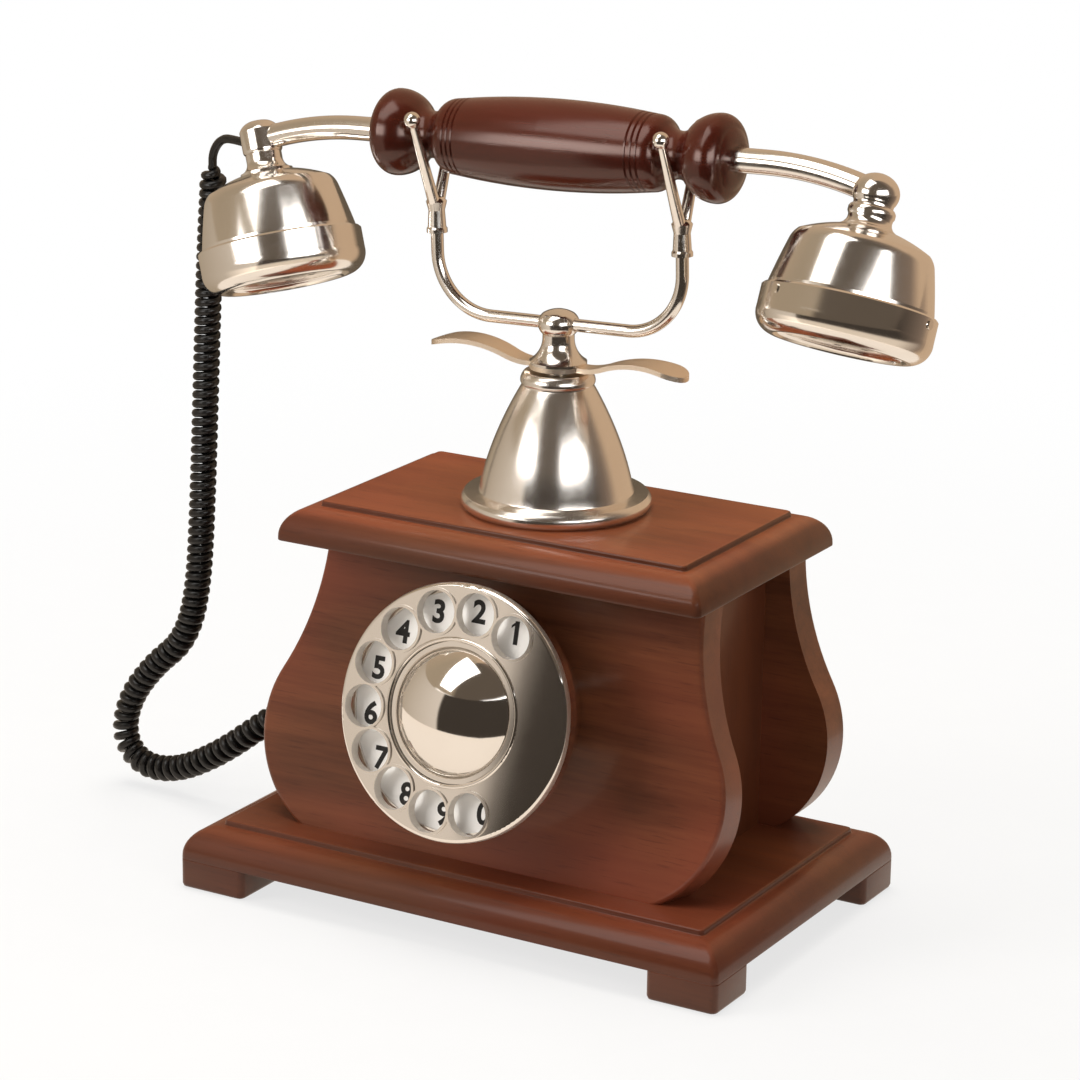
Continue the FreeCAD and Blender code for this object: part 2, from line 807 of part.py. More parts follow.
def knuckle_middle():
    return FreeCAD.Vector(knuckle_x, column_y, knuckle_z)


def on_cup(shape, end):
    """Hang a shape built along Z, with the knuckle's middle at the origin, on the right end."""
    inward, forward = end
    shape = shape.copy()
    shape.rotate(origin, Y, inward)
    shape.rotate(origin, X, -forward)
    shape.translate(knuckle_middle())
    return rolled(shape)


def knuckle(end):
    """Plated joint between a tube and its bell, with the threaded stud that holds the bell."""
    foot = -knuckle_foot
    shape = turned((0, knuckle_up), [
        ((knuckle_r * 0.72, knuckle_up - 0.7), (knuckle_r, knuckle_up - 2.8)),
        (knuckle_r, -knuckle_low + 1.4),
        ((knuckle_r - 0.2, -knuckle_low + 0.5), (knuckle_waist_r, -knuckle_low)),
        (knuckle_waist_r, foot + 4.4),
        ((knuckle_waist_r + 0.6, foot + 2.3), (knuckle_foot_r, foot + 0.9)),
        (knuckle_foot_r, foot),
        (bell_stud_r, foot),
        (bell_stud_r, foot - bell_wall - bell_nut_t - 1.5),
        (0, foot - bell_wall - bell_nut_t - 1.5)])
    inward = FreeCAD.Vector(-math.cos(bend), 0, math.sin(bend))
    start = knuckle_middle() + inward * tube_end_gap
    bore = Part.makeCylinder(tube_r + fit_gap, 3 * knuckle_r, start, inward)
    return on_cup(shape, end).cut(rolled(bore))


def bell(end):
    """Spun bell with a domed top, a rounded shoulder and a skirt for the cap."""
    top = -knuckle_foot
    wall = bell_wall
    shoulder = top - bell_shoulder_drop
    skirt = top - bell_skirt
    mouth = top - bell_h
    hole = bell_stud_r + fit_gap
    shape = turned((hole, top), [
        (knuckle_foot_r + 1.0, top),
        ((bell_shoulder_r - 6.2, top - 2.0), (bell_shoulder_r - 2.0, shoulder + 3.6)),
        ((bell_shoulder_r - 0.6, shoulder + 1.7), (bell_shoulder_r, shoulder)),
        ((bell_mouth_r - 1.4, (shoulder + skirt) / 2), (bell_mouth_r, skirt)),
        (bell_mouth_r, mouth),
        (bell_mouth_r - wall, mouth),
        (bell_mouth_r - wall, skirt),
        (bell_shoulder_r - wall, shoulder),
        (bell_shoulder_r - 2.0 - wall, shoulder + 2.4),
        (knuckle_foot_r + 2.6, top - wall),
        (hole, top - wall)])
    return on_cup(shape.cut(cap_screw_set(fit_gap)), end)


def cap_top():
    return -knuckle_foot - bell_h + cap_lap


def cap_screw_set(gap):
    z = cap_top() - cap_lap / 2
    screws = []
    for i in range(cap_screws):
        x, y = polar(1.0, cap_screw_first + i * 360 / cap_screws)
        out = FreeCAD.Vector(x, y, 0)
        start = out * (cap_r + 0.4 - cap_screw_len - gap) + Z * z
        screws.append(Part.makeCylinder(cap_screw_r + gap, cap_screw_len + 2 * gap, start, out))
    return Part.Compound(screws)


def cap(end):
    """Cap that laps over the bell, with its band, rounded edge and sound holes."""
    top = cap_top()
    foot = top - cap_h
    bore = bell_mouth_r + fit_gap
    shape = turned((bore, top), [
        (cap_r - 0.6, top),
        (cap_r, top - 0.6),
        (cap_r, top - cap_band),
        ((cap_r - 1.2, foot + 2.6), (cap_face_r, foot)),
        (cap_face_r - cap_lip, foot),
        ((cap_face_r - cap_lip - 0.6, foot + 1.2), (cap_face_r - cap_lip - 2.4, foot + cap_dish)),
        (0, foot + cap_dish),
        (0, foot + cap_dish + cap_face_t),
        (cap_face_r - 0.5, foot + cap_dish + cap_face_t),
        (bore - 1.6, top - cap_band - 1.0),
        (bore - 1.6, top - cap_lap - fit_gap),
        (bore, top - cap_lap - fit_gap)])
    places = [(0, 0)] + [polar(sound_ring_r, 360 / sound_holes * i) for i in range(sound_holes)]
    holes = [rod(sound_hole_r, cap_face_t * 3, x, y, foot) for x, y in places]
    return on_cup(shape.cut(Part.Compound(holes)).cut(cap_screw_set(fit_gap)), end)


def capsule(end):
    """Sealed sound capsule that rests behind the cap's face."""
    foot = cap_top() - cap_h + cap_dish + cap_face_t + fit_gap
    shape = turned((0, foot), [
        (capsule_r - 2.5, foot),
        (capsule_r - 1.5, foot + 3.0),
        (capsule_r - 1.5, foot + capsule_t - 2.0),
        (capsule_r - 3.5, foot + capsule_t),
        (0, foot + capsule_t)])
    return on_cup(shape, end)


def on_left(shape):
    return cradled(mirrored(shape))


def at_both_ends(shape):
    right = cradled(on_cup(shape, earpiece))
    left = on_left(on_cup(shape, mouthpiece))
    return Part.Compound(right.Solids + left.Solids)


def bell_nuts():
    top = -knuckle_foot - bell_wall
    nut = hexagon(bell_nut_af, bell_nut_t, top - bell_nut_t)
    return at_both_ends(nut.cut(rod(bell_stud_r + fit_gap, bell_h, 0, 0, top - bell_h)))


# Dial

def dial_screw_set(gap):
    screws = []
    for angle in dial_screw_angles:
        x, y = polar(dial_screw_circle_r, angle)
        head = rod(dial_screw_head_r, dial_screw_r, x, y, cup_floor)
        shank = rod(dial_screw_r + gap, dial_screw_len + gap, x, y, cup_floor - dial_screw_len - gap)
        screws.append(head.fuse(shank).removeSplitter())
    return screws


def dial_screw_holes():
    return on_dial(Part.Compound(dial_screw_set(fit_gap)))


def dial_screws():
    return on_dial(Part.Compound(dial_screw_set(0)))


def governor_place():
    return polar(gear_module * (gear_teeth + pinion_teeth) / 2, governor_angle)


def dial_cup():
    """Flared bowl that carries the dial in front of the panel."""
    bowl = turned((dial_hole_r, 0), [
        (cup_back_r, 0),
        (cup_lip_r, cup_flare_h),
        (cup_lip_r, cup_h - 0.5),
        (cup_lip_r - 0.5, cup_h),
        (cup_lip_r - cup_lip_t, cup_h),
        (cup_lip_r - cup_lip_t, plate_w),
        (cup_ledge_r, plate_w),
        (cup_back_r - 2.0, cup_floor),
        (dial_hole_r, cup_floor)])
    gx, gy = governor_place()
    pivot = rod(governor_r + run_gap, cup_floor, gx, gy, cup_floor / 2)
    shanks = Part.Compound(dial_screw_set(fit_gap))
    return on_dial(bowl.cut(pivot).cut(shanks))


def dial_frame():
    """Round plate on three posts, with the bearings of the shaft and the governor."""
    plate = rod(frame_plate_r, frame_plate_t, 0, 0, frame_plate_w)
    boss_t = frame_plate_t + 1.2
    plate = plate.fuse(rod(frame_boss_r, boss_t, 0, 0, frame_plate_w - 1.2))
    for angle in post_angles:
        x, y = polar(post_circle_r, angle)
        plate = plate.fuse(rod(post_r, frame_plate_w - cup_floor, x, y, cup_floor))
    gx, gy = governor_place()
    bores = rod(shaft_r + run_gap, boss_t * 2, 0, 0, frame_plate_w - boss_t)
    bores = bores.fuse(rod(governor_r + run_gap, boss_t * 2, gx, gy, frame_plate_w - boss_t))
    return on_dial(plate.cut(bores).removeSplitter())


def gear(teeth, bore):
    """Straight-sided spur gear, with room between the teeth to run freely."""
    pitch_r = gear_module * teeth / 2
    root_r = pitch_r - 1.25 * gear_module
    tip_r = pitch_r + 0.85 * gear_module
    step = 360 / teeth
    corners = []
    for i in range(teeth):
        middle = i * step
        for radius, share in ((root_r, -0.33), (tip_r, -0.11), (tip_r, 0.11), (root_r, 0.33)):
            corners.append(polar(radius, middle + share * step))
    blank = outline(corners[0], corners[1:], "xy").extrude(Z * gear_t)
    if bore:
        blank = blank.cut(rod(bore, gear_t, 0, 0, 0))
    return blank


def main_gear():
    return on_dial(moved(gear(gear_teeth, shaft_r + fit_gap), 0, 0, gear_w))


def governor_spindle():
    """Pinion and brake disc on one spindle, driven by the main gear."""
    gx, gy = governor_place()
    pinion = gear(pinion_teeth, 0)
    mesh = governor_angle + 180 + 180 / pinion_teeth
    phase = governor_angle / (360 / gear_teeth) % 1 * 360 / pinion_teeth
    pinion.rotate(origin, Z, mesh + phase)
    low = cup_floor / 2 + run_gap
    disc_w = frame_plate_w + frame_plate_t + seat_gap
    body = moved(pinion, 0, 0, gear_w).fuse(rod(governor_r, disc_w - low, 0, 0, low))
    body = body.fuse(rod(governor_disc_r, governor_disc_t, 0, 0, disc_w))
    return on_dial(moved(body, gx, gy, 0))


def dial_shaft():
    collar_w = frame_plate_w + frame_plate_t + seat_gap
    low = gear_w - 1.0
    shape = turned((0, low), [
        (shaft_r, low),
        (shaft_r, collar_w),
        (shaft_collar_r, collar_w),
        (shaft_collar_r, wheel_w),
        (shaft_r, wheel_w),
        (shaft_r, dome_seat + dome_flange_t),
        (0, dome_seat + dome_flange_t)])
    return on_dial(shape)


def return_spring():
    """Flat spiral strip, made of half circles, from the shaft's collar outwards."""
    def spiral(shift, count):
        edges = []
        for i in range(count):
            side = 1 if i % 2 == 0 else -1
            radius = shaft_collar_r + seat_gap + shift + i * return_pitch / 2
            centre = 0 if side == 1 else return_pitch / 2
            here = FreeCAD.Vector(centre + side * radius, 0, 0)
            crown = FreeCAD.Vector(centre, side * radius, 0)
            there = FreeCAD.Vector(centre - side * radius, 0, 0)
            edges.append(Part.Arc(here, crown, there).toShape())
        return edges
    inner = spiral(0, 2 * return_turns)
    outer = spiral(return_strip_t, 2 * return_turns)
    def first(edges):
        return edges[0].valueAt(edges[0].FirstParameter)
    def last(edges):
        return edges[-1].valueAt(edges[-1].LastParameter)
    ends = [Part.makeLine(first(inner), first(outer)), Part.makeLine(last(inner), last(outer))]
    loop = Part.Wire(Part.__sortEdges__(inner + outer + ends))
    strip = Part.Face(loop).extrude(Z * return_strip_w)
    return on_dial(moved(strip, 0, 0, frame_plate_w + frame_plate_t + seat_gap))


def number_plate():
    radius = cup_lip_r - cup_lip_t - fit_gap
    plate = rod(radius, plate_t, 0, 0, plate_w).cut(rod(plate_bore_r, plate_t, 0, 0, plate_w))
    return on_dial(plate)


def hole_places():
    return [polar(hole_circle_r, hole_first + i * hole_step) for i in range(hole_count)]


def finger_wheel():
    """Pressed disc with a deep rim, a dish for the dome and ten collared finger holes."""
    seat_r = dome_flange_r + seat_gap
    dish_r = seat_r + rim_t
    inner_r = wheel_r - rim_t
    back = dial_front - wheel_t
    wheel = turned((shaft_r + fit_gap, wheel_w), [
        (dish_r, wheel_w),
        (dish_r, back),
        (inner_r, back),
        (inner_r, wheel_w),
        (wheel_r - 0.5, wheel_w),
        (wheel_r, wheel_w + 0.5),
        (wheel_r, dial_front - 1.2),
        ((wheel_r - 0.35, dial_front - 0.35), (wheel_r - 1.2, dial_front)),
        (seat_r + bead_w, dial_front),
        ((seat_r + bead_w / 2, dial_front + bead_h), (seat_r, dial_front)),
        (seat_r, dome_seat),
        (shaft_r + fit_gap, dome_seat)])
    collar_h = wheel_rim + hole_ring_t - seat_gap
    for x, y in hole_places():
        wheel = wheel.fuse(rod(hole_r + hole_wall, collar_h, x, y, wheel_w + seat_gap))
    for x, y in hole_places():
        wheel = wheel.cut(rod(hole_r, wheel_rim * 3, x, y, wheel_w - wheel_rim))
    return on_dial(wheel.removeSplitter())


def dial_dome():
    """Hollow polished dome with a flat flange, held on the shaft's end."""
    ball_r = (dome_r ** 2 + dome_h ** 2) / (2 * dome_h)
    inner_r = ball_r - dome_wall
    foot = dome_flange_t
    low = foot + dome_h - ball_r
    half = math.asin(dome_r / ball_r) / 2
    inner_foot = math.sqrt(inner_r ** 2 - (foot - low) ** 2)
    inner_half = math.asin(inner_foot / inner_r) / 2
    dome = turned((shaft_r + fit_gap, 0), [
        (dome_flange_r, 0),
        (dome_flange_r, foot),
        (dome_r, foot),
        ((ball_r * math.sin(half), low + ball_r * math.cos(half)), (0, foot + dome_h)),
        (0, foot + dome_h - dome_wall),
        ((inner_r * math.sin(inner_half), low + inner_r * math.cos(inner_half)), (inner_foot, foot)),
        (shaft_r + fit_gap, foot)])
    return on_dial(moved(dome, 0, 0, dome_seat))


# Electrics inside the case

def board_y():
    return rear_back_y - panel_t - board_d / 2 - 6.0


def circuit_board():
    return box(board_w, board_d, board_thick, 0, board_y(), base_top + standoff_h)


def board_standoffs():
    x = board_w / 2 - standoff_r
    y = board_d / 2 - standoff_r
    places = [(sx * x, board_y() + sy * y) for sx in (-1, 1) for sy in (-1, 1)]
    return Part.Compound([rod(standoff_r, standoff_h, px, py, base_top) for px, py in places])


def ringer():
    z = base_top + standoff_h + board_thick
    drum = rod(ringer_r, ringer_h, -board_w / 4, board_y(), z)
    port = rod(ringer_r / 5, ringer_h, -board_w / 4, board_y(), z + ringer_h - 1.5)
    return drum.cut(port)


def jack_z():
    return base_top + jack_rise - jack_h / 2


def line_jack():
    """Modular socket for the line, through the rear panel."""
    body = box(jack_w, jack_d, jack_h, 0, rear_back_y - jack_d / 2, jack_z())
    flange_w = jack_w + 2 * jack_flange
    flange_h = jack_h + 2 * jack_flange
    flange_y = rear_back_y + jack_flange_t / 2
    flange = box(flange_w, jack_flange_t, flange_h, 0, flange_y, jack_z() - jack_flange)
    mouth_z = jack_z() + (jack_h - jack_mouth_h) / 2
    mouth = box(jack_mouth_w, 2 * jack_mouth_d, jack_mouth_h, 0, rear_back_y + jack_flange_t, mouth_z)
    return body.fuse(flange).cut(mouth).removeSplitter()


def case_grommet():
    """Rubber grommet where the handset's cord enters the left side panel."""
    shape = turned((0, 0), [
        (grommet_neck_r, 0),
        (grommet_neck_r, side_t),
        (grommet_r, side_t),
        (grommet_r, side_t + grommet_t - 0.6),
        (grommet_r - 0.6, side_t + grommet_t),
        (0, side_t + grommet_t)])
    shape.rotate(origin, Y, -90)
    return moved(shape, -side_x + side_t, grommet_y, grommet_z)


# Cord

def lead_direction():
    yaw = math.radians(lead_yaw)
    return FreeCAD.Vector(-math.cos(yaw), math.sin(yaw), 0)


def lead_root():
    """Point on the left knuckle's middle line from which the lead leaves."""
    point = Part.Vertex(FreeCAD.Vector(0, 0, -lead_drop))
    return on_left(on_cup(point, mouthpiece)).Point


def cord_boot():
    """Short sleeve where the cord leaves the left knuckle."""
    sleeve = Part.makeCylinder(boot_r, knuckle_r + boot_len, lead_root(), lead_direction())
    head = rod(knuckle_r, knuckle_up + knuckle_low, 0, 0, -knuckle_low)
    return sleeve.cut(on_left(on_cup(head, mouthpiece)))


def lead_end():
    reach = knuckle_r + boot_len + lead_run + lead_bend_r
    return lead_root() + lead_direction() * reach - Z * lead_bend_r


def cord_lead():
    """Straight wire that leaves the boot and bends down to the first curl."""
    along = lead_direction()
    start = lead_root() + along * (knuckle_r + boot_len)
    turn = start + along * lead_run
    half = math.sqrt(0.5) * lead_bend_r
    middle = turn + along * half - Z * (lead_bend_r - half)
    edges = [Part.makeLine(start, turn), Part.Arc(turn, middle, lead_end()).toShape()]
    lead = pipe(edges, wire_r)
    run = sum(edge.Length for edge in edges)
    share = lead.Volume / (math.pi * wire_r ** 2 * run)
    print("lead: length", round(run, 1), "bend radius", lead_bend_r, "volume share", round(share, 4))
    return lead


def cord_route():
    """Middle line of the coil: hangs behind the left cup, loops at the table, enters the case."""
    top = lead_end() - Z * seat_gap
    foot = FreeCAD.Vector(-side_x - grommet_t - fit_gap, grommet_y, grommet_z)
    points = [top - Z * run for run in (0, 4, 8)]
    points += [FreeCAD.Vector(*place) for place in cord_places]
    points += [foot - X * run for run in (8, 4, 0)]
    route = Part.BSplineCurve()
    route.interpolate(points)
    return route


def biarc(p, along_p, q, along_q):
    """Two tangent arcs from p to q that keep the given directions at both ends."""
    gap = q - p
    both = along_p + along_q
    spread = 2 * (1 - along_p.dot(along_q))
    across = gap.dot(both)
    reach = (math.sqrt(across ** 2 + spread * gap.dot(gap)) - across) / spread
    meet = (p + q + (along_p - along_q) * reach) * 0.5
    def arc(a, along, b):
        chord = b - a
        unit = FreeCAD.Vector(chord).normalize()
        side = along - unit * along.dot(unit)
        rise_by = chord.Length / 2 * math.tan(math.acos(min(1.0, along.dot(unit))) / 2)
        return Part.Arc(a, (a + b) * 0.5 + side.normalize() * rise_by, b).toShape()
    second = arc(q, along_q * -1, meet)
    halfway = second.valueAt((second.FirstParameter + second.LastParameter) / 2)
    return arc(p, along_p, meet), Part.Arc(meet, halfway, q).toShape()


def coil(middle_line, radius, wire, turns, ramp):
    """One unbroken round wire wound about a middle line, its ends drawn in to the line over a ramp."""
    quarters = turns * 4
    straight = 2 * wire if ramp else 0.0
    def opened(q):
        near = min(q, quarters - q)
        if near >= ramp:
            return 1.0
        share = near / ramp
        return share * share * (3 - 2 * share)
    weights = [2.0 - opened(q + 0.5) for q in range(quarters)]
    length = middle_line.length()
    unit = (length - 2 * straight) / sum(weights)
    marks = [straight]
    for weight in weights:
        marks.append(marks[-1] + weight * unit)
    def place(distance):
        u = middle_line.parameterAtDistance(distance, middle_line.FirstParameter)
        return middle_line.value(u), FreeCAD.Vector(middle_line.tangent(u)[0])
    across = []
    normal = Y
    for mark in marks:
        along = place(mark)[1]
        normal = (normal - along * normal.dot(along)).normalize()
        across.append(FreeCAD.Vector(normal))
    def wire_point(q):
        k = min(max(int(q), 0), quarters)
        low = min(k, quarters - 1)
        centre, along = place(marks[low] + (q - low) * (marks[low + 1] - marks[low]))
        out = FreeCAD.Vector(across[k] - along * across[k].dot(along)).normalize()
        angle = q * math.pi / 2
        return centre + (out * math.cos(angle) + along.cross(out) * math.sin(angle)) * radius * opened(q)
    step = 0.02
    points = [wire_point(q) for q in range(quarters + 1)]
    aims = [(wire_point(q + step) - wire_point(q - step)).normalize() for q in range(1, quarters)]
    if ramp:
        ends = [place(0), place(length)]
        aims = [ends[0][1]] + aims + [ends[1][1]]
    else:
        first = (wire_point(step) - points[0]).normalize()
        last = (points[-1] - wire_point(quarters - step)).normalize()
        aims = [first] + aims + [last]
    edges = []
    for q in range(quarters):
        edges += biarc(points[q], aims[q], points[q + 1], aims[q + 1])
    if ramp:
        edges = [Part.makeLine(ends[0][0], points[0])] + edges + [Part.makeLine(points[-1], ends[1][0])]
    wound = pipe(edges, wire)
    spots = [wire_point(i / 4) for i in range(4 * quarters + 1)]
    skip = 9
    gaps = [a.distanceToPoint(b) for i, a in enumerate(spots) for b in spots[i + skip:]]
    tightest = min(edge.Curve.Radius for edge in edges if hasattr(edge.Curve, "Radius"))
    run = sum(edge.Length for edge in edges)
    print("coil: wire length", round(run, 1), "along", round(length, 1), "pitch", round(4 * unit, 2),
          "least gap", round(min(gaps) - 2 * wire, 2), "tightest arc", round(tightest, 2),
          "volume share", round(wound.Volume / (math.pi * wire ** 2 * run), 4))
    return wound


def handset_cord():
    return coil(cord_route(), coil_r, wire_r, cord_curls, coil_ramp)


nodes = {
    "base_board": base_board(),
    "feet": feet(),
    "front_panel": front_panel(),
    "rear_panel": rear_panel(),
    "left_side_panel": left_side_panel(),
    "right_side_panel": side_panel(),
    "top_board": top_board(),
    "base_screws": base_screws(),
    "column": column(),
    "guide_bush": guide_bush(),
    "bush_nut": bush_nut(),
    "plunger": plunger(),
    "plunger_clip": plunger_clip(),
    "plunger_spring": plunger_spring(),
    "switch_bracket": switch_bracket(),
    "hook_switch": hook_switch(),
    "leaf_lever": leaf_lever(),
    "cradle_hub": cradle_hub(),
    "cradle_yoke": cradled(cradle_yoke()),
    "right_fork": cradled(right_fork()),
    "left_fork": on_left(right_fork()),
    "handle_grip": cradled(handle_grip()),
    "earpiece_tube": cradled(tube()),
    "mouthpiece_tube": on_left(tube()),
    "earpiece_knuckle": cradled(knuckle(earpiece)),
    "mouthpiece_knuckle": on_left(knuckle(mouthpiece)),
    "earpiece_bell": cradled(bell(earpiece)),
    "mouthpiece_bell": on_left(bell(mouthpiece)),
    "earpiece_cap": cradled(cap(earpiece)),
    "mouthpiece_cap": on_left(cap(mouthpiece)),
    "receiver_capsule": cradled(capsule(earpiece)),
    "microphone_capsule": on_left(capsule(mouthpiece)),
    "bell_nuts": bell_nuts(),
    "cap_screws": at_both_ends(cap_screw_set(0)),
    "dial_cup": dial_cup(),
    "dial_screws": dial_screws(),
    "dial_frame": dial_frame(),
    "return_spring": return_spring(),
    "number_plate": number_plate(),
    "finger_wheel": finger_wheel(),
    "dial_dome": dial_dome(),
    "dial_shaft": dial_shaft(),
    "main_gear": main_gear(),
    "governor_spindle": governor_spindle(),
    "circuit_board": circuit_board(),
    "board_standoffs": board_standoffs(),
    "ringer": ringer(),
    "line_jack": line_jack(),
    "case_grommet": case_grommet(),
    "cord_boot": cord_boot(),
    "cord_lead": cord_lead(),
    "handset_cord": handset_cord(),
}

os.makedirs("parts", exist_ok=True)
for name, shape in nodes.items():
    shape = moved(shape, case_x, 0, 0)
    if not shape.isValid():
        print("not valid:", name)
    shape.exportStep("parts/" + name + ".step")
print(len(nodes), "nodes")
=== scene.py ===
import bpy
import math
from mathutils import Matrix, Vector


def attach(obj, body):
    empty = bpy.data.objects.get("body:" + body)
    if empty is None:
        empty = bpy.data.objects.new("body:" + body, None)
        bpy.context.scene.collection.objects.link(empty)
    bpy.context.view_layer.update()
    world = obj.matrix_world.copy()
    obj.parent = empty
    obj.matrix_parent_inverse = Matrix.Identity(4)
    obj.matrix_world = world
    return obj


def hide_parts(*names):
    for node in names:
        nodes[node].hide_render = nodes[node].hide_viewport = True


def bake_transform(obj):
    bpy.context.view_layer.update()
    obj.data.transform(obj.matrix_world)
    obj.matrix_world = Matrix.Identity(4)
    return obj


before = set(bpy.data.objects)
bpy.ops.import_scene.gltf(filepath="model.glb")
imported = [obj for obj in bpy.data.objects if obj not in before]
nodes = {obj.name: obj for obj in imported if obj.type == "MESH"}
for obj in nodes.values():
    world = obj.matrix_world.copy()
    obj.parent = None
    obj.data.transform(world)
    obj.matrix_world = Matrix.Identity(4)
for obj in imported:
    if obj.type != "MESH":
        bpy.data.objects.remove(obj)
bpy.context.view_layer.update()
scene = bpy.context.scene
scene.view_settings.view_transform = "Standard"


# Table. A wide white sheet of paper under the telephone. Near the feet it keeps the
# shadow, and farther out it runs into plain white.

class Shade:
    """A value in a material. Sums on it add Math nodes, and node() adds any other node."""

    def __init__(self, tree, socket=None):
        self.tree = tree
        self.socket = socket

    def node(self, kind, settings=None, inputs=None, out=0):
        made = self.tree.nodes.new(kind)
        for name, value in (settings or {}).items():
            if name == "stops":
                ramp = made.color_ramp
                while len(ramp.elements) < len(value):
                    ramp.elements.new(1.0)
                for element, (place, colour) in zip(ramp.elements, value):
                    element.position = place
                    element.color = (*colour, 1.0)
            else:
                setattr(made, name, value)
        for name, value in (inputs or {}).items():
            if isinstance(value, Shade):
                self.tree.links.new(value.socket, made.inputs[name])
            else:
                made.inputs[name].default_value = value
        return Shade(self.tree, made.outputs[out])

    def maths(self, operation, first, second):
        return self.node("ShaderNodeMath", {"operation": operation}, {0: first, 1: second})

    def __add__(self, other):
        return self.maths("ADD", self, other)

    __radd__ = __add__

    def __sub__(self, other):
        return self.maths("SUBTRACT", self, other)

    def __rsub__(self, other):
        return self.maths("SUBTRACT", other, self)

    def __mul__(self, other):
        return self.maths("MULTIPLY", self, other)

    __rmul__ = __mul__

    def __truediv__(self, other):
        return self.maths("DIVIDE", self, other)


def mesh_piece(name, points, faces, smooth=True):
    """A mesh object at the telephone's own origin, in metres."""
    mesh = bpy.data.meshes.new(name)
    mesh.from_pydata([tuple(point) for point in points], [], faces)
    mesh.validate()
    mesh.polygons.foreach_set("use_smooth", [smooth] * len(mesh.polygons))
    piece = bpy.data.objects.new(name, mesh)
    scene.collection.objects.link(piece)
    return piece


def emitter(name, recipe):
    """A material that only shines, with the colour and strength the recipe gives."""
    made = bpy.data.materials.new(name)
    made.use_nodes = True
    tree = made.node_tree
    tree.nodes.remove(tree.nodes["Principled BSDF"])
    surface = recipe(Shade(tree))
    tree.links.new(surface.socket, tree.nodes["Material Output"].inputs["Surface"])
    return made


shadow_r = 0.12
white_r = 0.75
mirrored_paper = (1.0, 0.86, 0.72, 1)


def paper(s):
    """Lit paper that keeps a shadow, mixed with plain white, which is warmer in mirrors."""
    straight = s.node("ShaderNodeLightPath", out="Is Camera Ray")
    mirrored = s.node("ShaderNodeLightPath", out="Is Glossy Ray")
    through = s.node("ShaderNodeLightPath", out="Is Transmission Ray")
    seen = s.node("ShaderNodeClamp", inputs={"Value": straight + mirrored + through})
    place = s.node("ShaderNodeTexCoord", out="Object")
    distance = s.node("ShaderNodeVectorMath", {"operation": "LENGTH"}, {0: place}, out="Value")
    white = s.node("ShaderNodeMapRange", {"interpolation_type": "SMOOTHSTEP"},
                   {"Value": distance, "From Min": shadow_r, "From Max": white_r,
                    "To Min": 0.74, "To Max": 1.0})
    fibre = s.node("ShaderNodeTexNoise", inputs={"Vector": place, "Scale": 60.0})
    tone = s.node("ShaderNodeMix", {"data_type": "RGBA"},
                  {0: fibre, 6: (0.55, 0.545, 0.535, 1), 7: (0.58, 0.575, 0.565, 1)}, out=2)
    lit = s.node("ShaderNodeBsdfDiffuse", inputs={"Color": tone})
    warmed = s.node("ShaderNodeMix", {"data_type": "RGBA"},
                    {0: mirrored, 6: (1, 1, 1, 1), 7: mirrored_paper}, out=2)
    plain = s.node("ShaderNodeEmission", inputs={"Color": warmed, "Strength": 1.0})
    return s.node("ShaderNodeMixShader", inputs={0: seen * white, 1: lit, 2: plain})


paper_r = 14.0
paper_z = -0.0003
around = 64
turns = [2 * math.pi * k / around for k in range(around)]
rim = [(paper_r * math.cos(turn), paper_r * math.sin(turn), paper_z) for turn in turns]
table = mesh_piece("table", rim, [list(range(around))], smooth=False)
table.data.materials.append(emitter("white_paper", paper))


# Camera. It stands at the right of the front and looks slightly down, as in the photograph.
view_turn = math.radians(30.114)
view_rise = math.radians(16.731)
view_roll = math.radians(0.804)
view_away = 1.19484
view_target = Vector((-0.00417, 0.0, 0.11581))
back = Vector((math.sin(view_turn) * math.cos(view_rise),
               -math.cos(view_turn) * math.cos(view_rise), math.sin(view_rise)))
right = Vector((math.cos(view_turn), math.sin(view_turn), 0))
up = back.cross(right)
tilted_right = right * math.cos(view_roll) + up * math.sin(view_roll)
tilted_up = up * math.cos(view_roll) - right * math.sin(view_roll)
lens = bpy.data.cameras.new("camera")
lens.sensor_width = 36.0
lens.lens = 127.49
camera = bpy.data.objects.new("camera", lens)
scene.collection.objects.link(camera)
aimed = Matrix((tilted_right, tilted_up, back)).transposed().to_4x4()
camera.matrix_world = Matrix.Translation(view_target + back * view_away) @ aimed
scene.camera = camera


# Light. A large soft lamp overhead, a softer one on the left and a weak one on the right,
# with a dim warm room around them. Polished metal does not mirror the lamps themselves.

def soft_lamp(name, place, aim, width, height, power, colour):
    lamp = bpy.data.lights.new(name, "AREA")
    lamp.shape = "RECTANGLE"
    lamp.size = width
    lamp.size_y = height
    lamp.energy = power
    lamp.color = colour
    holder = bpy.data.objects.new(name, lamp)
    scene.collection.objects.link(holder)
    holder.location = place
    holder.rotation_euler = (Vector(aim) - Vector(place)).to_track_quat("-Z", "Y").to_euler()
    holder.visible_glossy = False


soft_lamp("overhead_lamp", (-0.10, 0.12, 1.5), (0, 0, 0.1), 1.1, 1.1, 30.0, (1.0, 0.97, 0.93))
soft_lamp("left_lamp", (-1.1, -1.1, 0.9), (0, 0, 0.12), 0.8, 1.0, 21.0, (1.0, 0.97, 0.94))
soft_lamp("right_lamp", (1.5, -0.6, 0.7), (0, 0, 0.12), 0.8, 1.0, 8.0, (1.0, 0.95, 0.9))
room = bpy.data.worlds.new("room")
room.use_nodes = True
room.node_tree.nodes["Background"].inputs["Color"].default_value = (0.80, 0.76, 0.71, 1)
room.node_tree.nodes["Background"].inputs["Strength"].default_value = 0.30
scene.world = room


# Screens. What polished metal mirrors in a studio: a far ring of cloth, beige on the left, dark
# in front and peach behind, with bright panels before it; a low near ring that the dial faces;
# and one large panel overhead under a dim ceiling. Only reflections see them.

